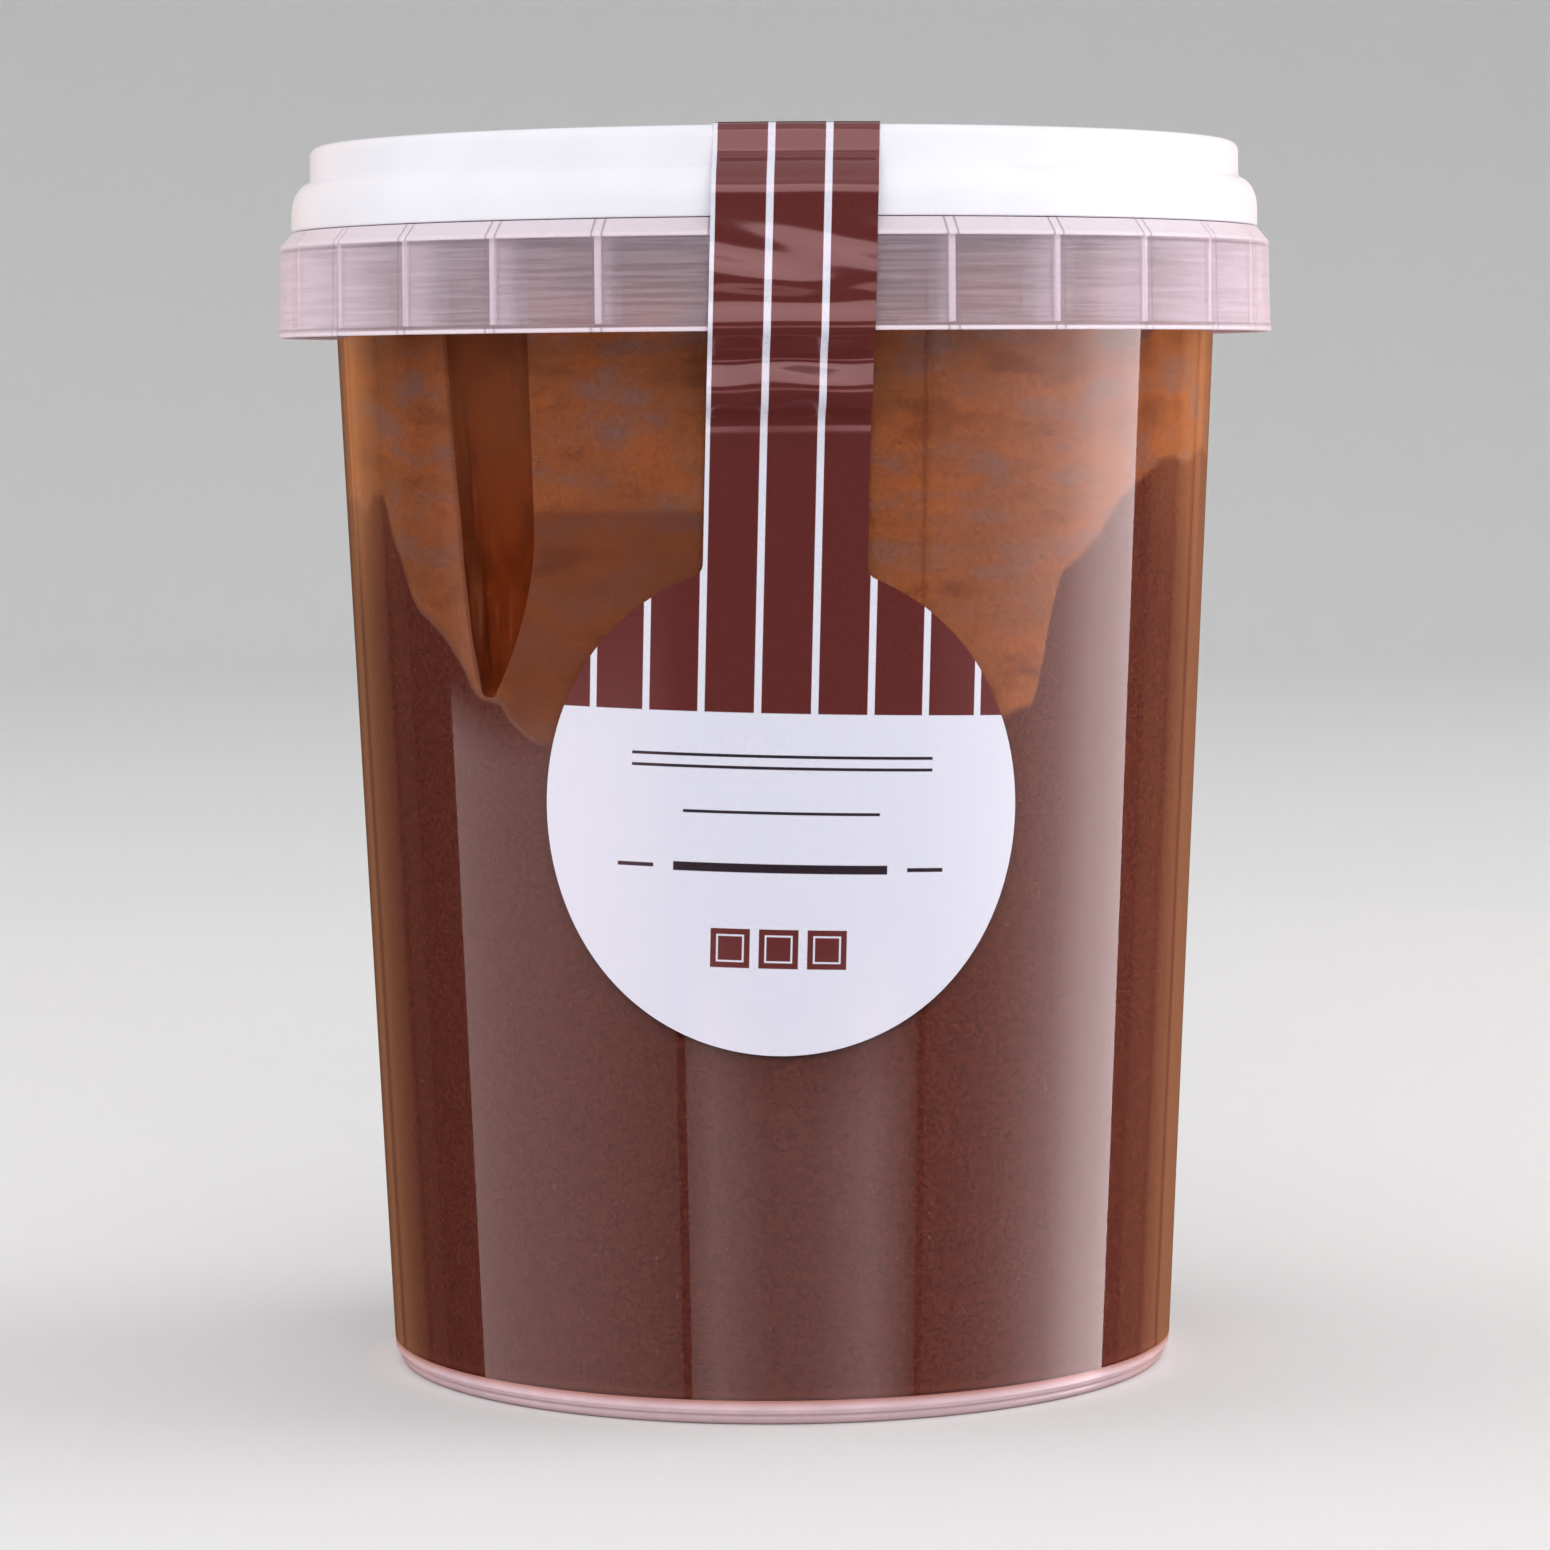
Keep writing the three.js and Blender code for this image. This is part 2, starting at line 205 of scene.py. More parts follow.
class CreamLook(PropertyGroup):
    level: length("Level", "Height of the cream's top", 136.8)
    reach: length("Reach", "How far the cream reaches into the wall", 0.07)
    tip_azimuth: angle("Tip azimuth", "Where the air gap's tip lies from the front", -40.2)
    tip_height: length("Tip height", "Height of the air gap's tip", 81.5)
    full_height: length("Full height", "Where the air gap reaches its full width", 122.0)
    left_reach: angle("Left reach", "Gap to the left of its tip", 6.0)
    right_reach: angle("Right reach", "Gap to the right of its tip", 7.7)
    depth: length("Depth", "Depth of the air gap", 1.8)
    smear_line: length("Smear line", "Height of the faint line across the smear", 102.7)
    bubbles: number("Bubbles", "Bubbles per square millimetre", 0.055)
    bubble: length("Bubble", "Radius of the largest bubbles", 0.2)
    brown: colour("Cream", "Colour of the plain cream", 105, 55, 45)
    smear: colour("Smear", "Colour of the thin orange-brown smear", 158, 96, 63)
    orange: colour("Orange", "Warmest patches of the smear", 178, 105, 62)
    grey: colour("Grey", "Cool cloudy patches of the smear", 142, 106, 96)
    # Painted glow along the air gap's left edge.
    pale: colour("Pale", "Pale strip of the smear beside the air gap", 190, 132, 108)
    # Darker than the plain cream, partly as painted shade of the recess.
    gap: colour("Gap", "Cream seen across the air gap", 122, 48, 10)
    bubble_tint: colour("Bubble tint", "Colour of the bubbles", 150, 112, 98)


class LabelLook(PropertyGroup):
    thickness: length("Thickness", "Thickness of the paper", 0.13)
    off: length("Glue", "Distance of the paper's back from what carries it", 0.12)
    badge_radius: length("Badge radius", "Radius of the round badge", 27.6)
    badge_height: length("Badge height", "Height of the badge's centre", 69.7)
    badge_shift: length("Badge shift", "Badge's centre to the right of the axis", 0.3)
    lean: angle("Lean", "How far the label's top leans to the right", 1.7)
    strap_width: length("Strap width", "Width of the strap", 18.2)
    strap_shift: length("Strap shift", "Strap's middle line across the label", -0.2)
    neck_radius: length("Neck radius", "Hollow corners between strap and badge", 1.5)
    end_radius: length("End radius", "Corners of the strap's end", 4.0)
    reach_on_lid: length("Reach on lid", "Distance of the strap's end from the axis", 27.0)
    leaves_wall: length("Leaves wall", "Where the strap bridges out to the collar", 112.0)
    stripe: length("Stripe", "Width of a white stripe", 0.8)
    pitch: length("Pitch", "Distance between stripes", 6.3)
    first_stripe: length("First stripe", "Place of the left stripe across the label", -21.8)
    field_top: length("Field top", "Upper edge of the white field", 10.7)
    brown: colour("Brown ink", "Printed brown", 99, 44, 42)
    white: colour("White ink", "Unprinted paper", 224, 224, 238)
    ink: colour("Dark ink", "Dark printed rules", 44, 36, 44)


class StageLook(PropertyGroup):
    floor: colour("Floor", "Colour of floor and backdrop", 231, 229, 228)
    sky: number("Sky", "Radiance of the even light from above", 0.95)
    overhead: number("Overhead", "Radiance of the top light", 0.3)
    key: number("Key", "Radiance of the light above the camera", 2.25)
    left: number("Left", "Radiance of the soft light on the left", 1.9)
    right: number("Right", "Radiance of the soft light on the right", 3.4)


def in_millimetres(group):
    """A property group's values by name, with its lengths in millimetres."""
    values = {}
    for prop in group.bl_rna.properties:
        if prop.identifier in ("rna_type", "name"):
            continue
        value = getattr(group, prop.identifier)
        if prop.type == "FLOAT" and prop.unit == "LENGTH":
            value = round(value / MM, 4)
        values[prop.identifier] = value
    return SimpleNamespace(**values)


def tint(base, share=1.0):
    """A colour, or a darker or lighter share of it, with full alpha."""
    return (*(part * share for part in base), 1.0)


# ---------------------------------------------------------------- shapes


def wall_radius(z, tub):
    return tub.radius_at_base + tub.taper * z


def arc(centre, radii, first, last, steps):
    """Points of an elliptic arc in the profile plane, between two angles in degrees."""
    angles = np.radians(np.linspace(first, last, steps + 1))
    return [
        (centre[0] + radii[0] * math.cos(a), centre[1] + radii[1] * math.sin(a)) for a in angles
    ]


def finished(name, mesh, *materials):
    """A new object of a closed mesh, with faces outwards, smooth but for real edges."""
    shape = bmesh.new()
    shape.from_mesh(mesh)
    bmesh.ops.remove_doubles(shape, verts=shape.verts, dist=1e-7)
    bmesh.ops.recalc_face_normals(shape, faces=shape.faces)
    shape.to_mesh(mesh)
    shape.free()
    mesh.shade_smooth()
    mesh.set_sharp_from_angle(angle=SHARP_EDGE)
    for material in materials:
        mesh.materials.append(material)
    piece = bpy.data.objects.new(name, mesh)
    bpy.context.scene.collection.objects.link(piece)
    return piece


def mesh_of(name, points, faces):
    mesh = bpy.data.meshes.new(name)
    mesh.from_pydata([Vector(p) * MM for p in points], [], faces)
    mesh.update()
    return mesh


def faces_between(low, high, count, low_on_axis, high_on_axis):
    """Faces from one ring of points to the next, where either may be one point on the axis."""
    faces = []
    for k in range(count):
        m = (k + 1) % count
        if low_on_axis:
            faces.append((low, high + m, high + k))
        elif high_on_axis:
            faces.append((low + k, low + m, high))
        else:
            faces.append((low + k, low + m, high + m, high + k))
    return faces


def turned_mesh(name, profile, steps=ROUND_STEPS):
    """A body of revolution about Z, from a closed profile of (radius, height) points."""
    points, rings, faces = [], [], []
    azimuths = np.linspace(0, 2 * math.pi, steps, endpoint=False)
    on_axis = [r < ON_AXIS for r, _ in profile]
    for (r, z), single in zip(profile, on_axis):
        rings.append(len(points))
        around = [0] if single else azimuths
        points.extend((r * math.sin(a), -r * math.cos(a), z) for a in around)
    for i, low in enumerate(rings):
        j = (i + 1) % len(profile)
        if not (on_axis[i] and on_axis[j]):
            faces.extend(faces_between(low, rings[j], steps, on_axis[i], on_axis[j]))
    return mesh_of(name, points, faces)


def belongs(piece, node):
    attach(piece, "root")
    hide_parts(node)


def wall_profile(tub):
    """The clear body: foot, tapered wall, rim bead and the whole inside."""
    step_top = tub.foot_step + 0.3
    turn = 131.5  # height at which the wall turns out to the rim
    inner_foot = wall_radius(tub.floor, tub) - tub.wall
    outside = [
        (0, tub.underside),
        (tub.foot_inner - 1.1, tub.underside),
        *arc((tub.foot_inner + 0.2, 0.6), (0.6, 0.6), 200, 270, 5),
        *arc((tub.foot_outer, 0.85), (0.85, 0.85), -90, 0, 8),
        (tub.foot_radius, tub.foot_step - 0.1),
        *arc((wall_radius(step_top, tub) - 0.45, step_top), (0.2, 0.2), 270, 360, 4),
        *arc((wall_radius(step_top, tub) - 0.55, step_top + 0.5), (0.55, 0.55), -45, 0, 4),
        (wall_radius(tub.milky_to, tub), tub.milky_to),
        (wall_radius(turn, tub), turn),
        *arc((wall_radius(turn, tub) + 1.6, turn + 0.2), (1.6, 1.6), 180, 95, 6),
        (tub.rim_radius - 0.5, tub.ledge - 1.15),
    ]
    rim = [
        (tub.rim_radius - 0.35, tub.ledge),
        (tub.rim_radius - 0.35, tub.rim_top - 1.8),
        *arc((tub.rim_radius - 0.9, tub.rim_top - 0.9), (0.9, 0.9), -20, 90, 8),
        *arc((tub.rim_mouth + 0.8, tub.rim_top - 0.8), (0.8, 0.8), 90, 180, 6),
        (tub.rim_mouth, tub.flare_top),
    ]
    inside = [
        (wall_radius(tub.flare_bottom, tub) - tub.wall, tub.flare_bottom),
        *arc((inner_foot - 1, tub.floor + 1), (1, 1), 0, -90, 6),
        (0, tub.floor),
    ]
    return [*outside, *rim, *inside]


def collar_profile(tub):
    """The frosted ring, with the flat ledge that ties it to the wall."""
    inner = tub.collar_radius - tub.collar_wall
    under = tub.ledge - 1.4
    low = tub.collar_bottom
    tie = 53.9  # radius at which the ledge ends inside the rim
    return [
        (tie, under),
        *arc((inner - 0.5, under - 0.4), (0.4, 0.4), 90, 0, 4),
        (inner + 0.15, low + 0.35),
        *arc((inner + 0.4, low + 0.25), (0.25, 0.25), 180, 270, 4),
        *arc((tub.collar_radius - 0.22, low + 0.22), (0.22, 0.22), -90, 0, 5),
        (tub.collar_radius, low + 0.9),
        (tub.collar_radius - 0.12, low + 1.15),
        *arc((tub.collar_top_radius - 0.5, tub.collar_top - 0.1), (0.5, 0.5), 0, 60, 6),
        (tub.ledge_radius, tub.ledge),
        (tie, tub.ledge - 0.02),
    ]


def lid_profile(lid):
    inner = lid.skirt_radius - 1.05
    under_panel = lid.panel_top - lid.panel
    hollow_top = lid.top - lid.crown_wall
    hollow_outer = lid.crown_radius - lid.crown_wall
    shoulder = (lid.skirt_radius - lid.crown_radius - 0.05, lid.shoulder_end - lid.shoulder_start)
    underneath = [
        (0, under_panel),
        (lid.plug_inner, under_panel),
        *arc((lid.plug_inner + 0.3, lid.plug_bottom + 0.3), (0.3, 0.3), 180, 270, 4),
        *arc((lid.plug_outer - 0.4, lid.plug_bottom + 0.4), (0.4, 0.4), -90, 0, 4),
        (lid.plug_outer - 0.1, hollow_top),
        (hollow_outer, hollow_top),
        (hollow_outer, lid.shoulder_end),
        (inner, lid.shoulder_end - 2),
        *arc((inner + 0.2, lid.skirt_bottom + 0.2), (0.2, 0.2), 180, 270, 3),
    ]
    outside = [
        *arc((lid.skirt_radius - 0.3, lid.skirt_bottom + 0.3), (0.3, 0.3), -90, 0, 5),
        *arc((lid.skirt_radius - shoulder[0], lid.shoulder_start), shoulder, 0, 80, 14),
        *arc((lid.crown_radius + 0.45, lid.shoulder_end + 0.45), (0.45, 0.45), 250, 180, 5),
        *arc((lid.crown_radius - 1.2, lid.top - 1.2), (1.2, 1.2), 0, 90, 12),
        *arc((lid.crown_inner + 1.1, lid.top - 1), (1, 1), 90, 170, 8),
        *arc((lid.crown_inner - 1.2, lid.panel_top + 1.2), (1.25, 1.2), -10, -90, 7),
        (0, lid.panel_top),
    ]
    return [*underneath, *outside]


def smooth(value, low, high):
    """Runs smoothly from 0 to 1 while the value runs from low to high."""
    share = np.clip((value - low) / (high - low), 0, 1)
    return share * share * (3 - 2 * share)


def gap_edges(z, cream):
    """The air gap's left and right edge at a height, in radians from the front."""
    rise = z - cream.tip_height
    share = np.clip(abs(rise) / (cream.full_height - cream.tip_height), 0.004, 1)
    left = cream.tip_azimuth - cream.left_reach * share**GAP_TAPER
    right = cream.tip_azimuth + cream.right_reach * (1 - max(1 - 2 * share, 0) ** 2)
    return left, right


def cream_columns(z, cream):
    """Azimuths round the cream at a height, crowded at the gap's edges, and how deep each lies."""
    left, right = gap_edges(z, cream)
    bank = math.radians(0.28)  # half the width of the gap's steep edges
    far_left, far_right = math.radians(-62), math.radians(-12)
    stops = [  # each with the number of columns from it to the next
        (-math.pi, 42),
        (far_left, 8),
        (left - bank, 6),
        (left + bank / 2, 14),
        (right - bank / 2, 6),
        (right + bank, 10),
        (far_right, 62),
        (math.pi, 0),
    ]
    azimuths = [
        np.linspace(start, end, count, endpoint=False)
        for (start, count), (end, _) in zip(stops, stops[1:])
    ]
    around = np.concatenate(azimuths)
    inside = smooth(around, left - bank, left + bank / 2)
    inside = inside * (1 - smooth(around, right - bank / 2, right + bank))
    opened = smooth(z, cream.tip_height - 0.2, cream.tip_height + 2.4)  # the slope above the tip
    streaks = 0.12 * np.sin(around * 190) + 0.08 * np.sin(around * 411 + z * 0.05)
    lumps = 0.16 * np.sin(z * 0.55 + around * 30) * np.sin(z * 0.21)
    return around, inside * opened * (cream.depth + streaks + lumps)


def cream_rings(cream, tub):
    """Profile of the cream up its side and over its top, as (radius, height) points."""
    bottom = tub.floor - cream.reach
    inset = cream.reach - tub.wall
    corner = wall_radius(tub.floor, tub) + inset - 1
    side = np.concatenate(
        [
            np.linspace(bottom + 1.2, cream.tip_height - 3, 40),
            np.linspace(cream.tip_height - 2.6, cream.tip_height + 6, 26),
            np.linspace(cream.tip_height + 7, tub.flare_bottom + 0.1, 50),
        ]
    )
    top_radius = tub.rim_mouth + cream.reach
    return [
        (0, bottom),
        (corner * 0.5, bottom),
        *arc((corner, bottom + 1), (1, 1), -90, -8, 5),
        *[(wall_radius(z, tub) + inset, z) for z in side],
        (top_radius - 0.6, tub.flare_top - 0.6),
        (top_radius - 0.3, cream.level - 0.8),
        (top_radius - 0.9, cream.level - 0.1),
        (48, cream.level),
        (36, cream.level),
        (18, cream.level),
        (0, cream.level),
    ]


def cream_mesh(cream, tub):
    """The closed body of cream. Its second material is the surface across the air gap."""
    points, rows, faces, deep = [], [], [], []
    for r, z in cream_rings(cream, tub):
        rows.append(len(points))
        if r == 0:
            points.append((0, 0, z))
            continue
        around, depth = cream_columns(z, cream)
        radius = r - (depth if r > SIDE_RADIUS else 0)
        wave = 0.15 * np.sin(0.11 * radius * np.sin(around)) if z > cream.level - 0.5 else 0
        height = z + wave * np.ones_like(around)
        points.extend(zip(radius * np.sin(around), -radius * np.cos(around), height))
    count = rows[2] - rows[1]
    shown = cream_columns(cream.full_height, cream)[1]
    for row, (low, high) in enumerate(zip(rows, rows[1:])):
        faces.extend(faces_between(low, high, count, row == 0, high == rows[-1]))
        for k in range(count):
            height = points[low + (k if row else 0)][2]
            across_gap = min(shown[k], shown[(k + 1) % count]) > 0.4
            deep.append(int(across_gap and height > cream.tip_height))
    mesh = mesh_of("cream", points, faces)
    mesh.polygons.foreach_set("material_index", deep)
    return mesh


# ---------------------------------------------------------------- the label's shape


def label_stops(label, tub, lid):
    """The line that the label's back follows, as (radius, height) points."""
    off = label.off
    foot = label.badge_height - label.badge_radius - 3
    panel = lid.panel_top + off
    on_wall = (foot, 80, label.leaves_wall - 8, label.leaves_wall)
    bridge = [(-4.4, -8.2), (-2.9, -6.4), (-3.05, -4.9), (-3.4, -3.1), (-2.2, -1.8)]
    over_collar = [
        (-0.05, -0.25),
        (0.42, 0.5),
        (0.32, 1.6),
        (0.02, 3.0),
        (0.1, 4.0),
        (0.38, 5.1),
        (0.3, 6.4),
    ]
    past_ledge = [(0.15, -1.7), (0, 0.2), (0, 2.8), (0, 4.8), (-0.6, 6.1), (-1.9, 7.4)]
    low, high = tub.collar_bottom, tub.collar_top
    collar, upper = tub.collar_radius, tub.collar_top_radius + off
    return [
        *[(wall_radius(z, tub) + off, z) for z in on_wall],
        (wall_radius(label.leaves_wall, tub) + 0.9, label.leaves_wall + 1.2),
        *[(collar + r, low + z) for r, z in bridge],
        *[(collar + off + r, low + z) for r, z in over_collar],
        *[(upper + r, high + z) for r, z in past_ledge],
        (lid.crown_radius + off + 0.4, lid.shoulder_end + 0.9),
        (lid.crown_radius + off, lid.top - 1.6),
        (lid.crown_radius - 0.2, lid.top - 0.2),
        (lid.crown_radius - 1.4, lid.top + off),
        (lid.crown_inner + 1.2, lid.top + off),
        (lid.crown_inner - 1.6, panel + 1.5),
        (lid.crown_inner - 5, panel),
        (lid.crown_inner - 9, panel),
        (label.reach_on_lid + 8, panel),
        (label.reach_on_lid, panel),
    ]


def line_through(stops, steps=60):
    """A centripetal curve through the stops, and the distance of each of its points along it."""
    stops = np.array(stops)
    stops = np.vstack([2 * stops[0] - stops[1], stops, 2 * stops[-1] - stops[-2]])
    points = []
    for a, b, c, d in zip(stops, stops[1:], stops[2:], stops[3:]):
        steps_apart = ((a, b), (b, c), (c, d))
        before, here, after = (math.sqrt(np.linalg.norm(q - p)) for p, q in steps_apart)
        leave = (b - a) / before - (c - a) / (before + here) + (c - b) / here
        arrive = (c - b) / here - (d - b) / (here + after) + (d - c) / after
        for s in np.linspace(0, 1, steps, endpoint=False):
            points.append(
                (2 * s**3 - 3 * s**2 + 1) * b
                + (s**3 - 2 * s**2 + s) * leave * here
                + (3 * s**2 - 2 * s**3) * c
                + (s**3 - s**2) * arrive * here
            )
    points = np.array([*points, stops[-2]])
    gaps = np.linalg.norm(np.diff(points, axis=0), axis=1)
    return points, np.concatenate([[0], np.cumsum(gaps)])


def label_edge(t, end, half, label):
    """Distance of the label's edge from the strap's middle line, on the strap's side of it."""
    big, neck = label.badge_radius, label.neck_radius
    neck_t = math.sqrt((big + neck) ** 2 - (half + neck) ** 2)
    touch_t = neck_t * big / (big + neck)
    if t <= touch_t:
        return math.sqrt(max(big**2 - t**2, 0))
    if t < neck_t:
        return half + neck - math.sqrt(max(neck**2 - (neck_t - t) ** 2, 0))
    into_end = max(t - (end - label.end_radius), 0)
    return half - label.end_radius + math.sqrt(max(label.end_radius**2 - into_end**2, 0))


def ripples(x, t):
    """Small waves of the paper where the strap bridges to the collar and turns over the edges."""
    low = smooth(t, 43, 47) * (1 - smooth(t, 51, 54))
    high = smooth(t, 59, 62) * (1 - smooth(t, 66, 70))
    buckle = 0.12 * low * np.sin(x * 0.42 + t * 0.9 + 0.6)
    crease = 0.1 * high * np.sin(x * 0.34 + t * 1.25 + 0.5)
    waves = 0.03 * np.sin(x * 0.5 + t * 0.33) * smooth(t, 40, 50) * (1 - smooth(t, 72, 76))
    return buckle + crease + waves


def label_mesh(label, tub, lid):
    line, along_line = line_through(label_stops(label, tub, lid))
    total = along_line[-1]
    foot = line[0][1]
    centre = (label.badge_height - foot) * math.hypot(1, tub.taper)
    end = total - centre - 0.5
    half = label.strap_width / 2
    big = label.badge_radius
    # Heights of the rows from the badge's centre, closer where the edge curves more.
    badge_rows = -big * np.cos(np.linspace(0.02, math.pi - 0.36, 110))
    strap_rows = np.arange(badge_rows[-1] + 0.15, end - label.end_radius, 0.42)
    end_rows = end - label.end_radius * np.array([1, 0.8, 0.6, 0.42, 0.28, 0.16, 0.07, 0.02, 0])
    rows = np.concatenate([badge_rows, strap_rows, end_rows])
    columns = np.linspace(0, 1, 37)
    lean = label.lean

    def place(x, t, out):
        across = label.badge_shift + x * math.cos(lean) + t * math.sin(lean)
        along = np.clip(centre + t * math.cos(lean) - x * math.sin(lean), 0.02, total - 0.02)
        back = np.array([np.interp(along, along_line, line[:, i]) for i in (0, 1)])
        ahead = np.array([np.interp(along + 0.02, along_line, line[:, i]) for i in (0, 1)])
        behind = np.array([np.interp(along - 0.02, along_line, line[:, i]) for i in (0, 1)])
        tangent = (ahead - behind) / np.linalg.norm(ahead - behind, axis=0)
        radius = back[0] + out * tangent[1]
        height = back[1] - out * tangent[0]
        bend = np.maximum(radius, 45)
        return np.stack(
            [bend * np.sin(across / bend), bend - radius - bend * np.cos(across / bend), height],
            axis=-1,
        )

    x_all, t_all = [], []
    for t in rows:
        shift = label.strap_shift
        if t < NECK_END:
            left = -label_edge(t, end, half - shift, label)
            right = label_edge(t, end, half + shift, label)
        else:
            edge = label_edge(t, end, half, label)
            left, right = shift - edge, shift + edge
        x_all.append(left + (right - left) * columns)
        t_all.append(np.full(len(columns), t))
    x_all, t_all = np.array(x_all), np.array(t_all)
    lift = ripples(x_all, t_all)
    sheets = [place(x_all, t_all, lift + out) for out in (0, label.thickness)]
    points = np.concatenate([sheet.reshape(-1, 3) for sheet in sheets])

    wide, tall = len(columns), len(rows)
    layer = wide * tall
    faces = []
    for i in range(tall - 1):
        for j in range(wide - 1):
            a = i * wide + j
            faces.append((layer + a, layer + a + 1, layer + a + wide + 1, layer + a + wide))
            faces.append((a, a + wide, a + wide + 1, a + 1))
        left, right = i * wide, (i + 1) * wide - 1
        faces.append((left, layer + left, layer + left + wide, left + wide))
        faces.append((right, right + wide, layer + right + wide, layer + right))
    for j in range(wide - 1):
        top = layer - wide + j
        faces.append((j, j + 1, layer + j + 1, layer + j))
        faces.append((top, layer + top, layer + top + 1, top + 1))
    mesh = mesh_of("label", points, faces)
    flat = np.tile(np.stack([x_all, t_all], axis=-1).reshape(-1, 2), (2, 1))
    layer_uv = mesh.uv_layers.new(name="print")
    for loop in mesh.loops:
        x, t = flat[loop.vertex_index]
        layer_uv.data[loop.index].uv = (0.5 + x / UV_SPAN, 0.25 + t / UV_SPAN)
    return mesh


# ---------------------------------------------------------------- materials


class Wiring:
    """Adds and joins nodes in one tree. A value is a number, a colour or another node's socket."""

    def __init__(self, tree):
        self.tree = tree
        tree.nodes.clear()

    def node(self, kind, inputs=None, **settings):
        made = self.tree.nodes.new(kind)
        for key, value in settings.items():
            setattr(made, key, value)
        for socket, value in (inputs or {}).items():
            self.feed(made.inputs[socket], value)
        return made

    def feed(self, socket, value):
        if isinstance(value, bpy.types.NodeSocket):
            self.tree.links.new(value, socket)
        else:
            socket.default_value = value

    def result(self, kind, inputs=None, **settings):
        """The first output of a new node."""
        return self.node(kind, inputs, **settings).outputs[0]

    def math(self, operation, *values):
        return self.result("ShaderNodeMath", dict(enumerate(values)), operation=operation)

    def times(self, a, b):
        return self.math("MULTIPLY", a, b)

    def most(self, a, b):
        return self.math("MAXIMUM", a, b)

    def step(self, value, low, high, start=0.0, end=1.0):
        """Runs smoothly from start to end while the value runs from low to high."""
        inputs = {0: value, 1: low, 2: high, 3: start, 4: end}
        return self.result("ShaderNodeMapRange", inputs, interpolation_type="SMOOTHSTEP")

    def band(self, value, middle, half, soft=0.05):
        """One where a value lies within half of the middle, with a soft edge."""
        away = self.math("ABSOLUTE", self.math("SUBTRACT", value, middle))
        return self.step(away, half + soft, half - soft)

    def mix(self, share, low, high):
        inputs = {0: share, 6: low, 7: high}
        return self.node("ShaderNodeMix", inputs, data_type="RGBA").outputs[2]

    def noise(self, place, scale, detail=2.0, roughness=0.5):
        inputs = {"Vector": place, "Scale": scale, "Detail": detail, "Roughness": roughness}
        return self.result("ShaderNodeTexNoise", inputs)

    def stretched(self, place, scale, offset=(0, 0, 0)):
        return self.result(
            "ShaderNodeMapping", {"Vector": place, "Scale": scale, "Location": offset}
        )

    def joined(self, x, y, z):
        return self.result("ShaderNodeCombineXYZ", {0: x, 1: y, 2: z})

    def bump(self, height, strength, distance):
        inputs = {"Height": height, "Strength": strength, "Distance": distance}
        return self.result("ShaderNodeBump", inputs)

    def object_place(self):
        """The Object coordinates, in millimetres."""
        place = self.node("ShaderNodeTexCoord").outputs["Object"]
        return self.result("ShaderNodeVectorMath", {0: place, "Scale": 1 / MM}, operation="SCALE")

    def azimuth(self, x, y):
        """Azimuth from the front to the right, in radians."""
        return self.math("ARCTAN2", x, self.times(y, -1.0))

    def apart(self, vector):
        return self.node("ShaderNodeSeparateXYZ", {0: vector}).outputs

    def shine(self, **inputs):
        """A Principled shader, with sockets named by their words."""
        words = {key.replace("_", " ").title().replace("Ior", "IOR"): key for key in inputs}
        sockets = {word: inputs[key] for word, key in words.items()}
        return self.result("ShaderNodeBsdfPrincipled", sockets)

    def skin(self, shader=None, **inputs):
        """Ends a material's tree, with a Principled shader unless one is given."""
        self.node("ShaderNodeOutputMaterial", {"Surface": shader or self.shine(**inputs)})
        return self.material


def new_material(name):
    """The wiring of a new material, which its skin call then gives back."""
    material = bpy.data.materials.new(name)
    material.use_nodes = True
    w = Wiring(material.node_tree)
    w.material = material
    return w


def clear_plastic(tub):
    """Clear moulded plastic. Light reaches what is behind it straight through."""
    w = new_material("clear plastic")
    place = w.object_place()
    flow = w.noise(w.stretched(place, (0.12, 0.12, 0.01)), 1.0, 0.0)
    glass = w.shine(
        base_color=tint(tub.clear),
        roughness=0.03,
        ior=PLASTIC_IOR,
        transmission_weight=1.0,
        normal=w.bump(flow, 0.04, 0.0006),
    )
    straight = w.result("ShaderNodeBsdfTransparent")
    shadow = w.node("ShaderNodeLightPath").outputs["Is Shadow Ray"]
    return w.skin(w.result("ShaderNodeMixShader", {0: shadow, 1: glass, 2: straight}))


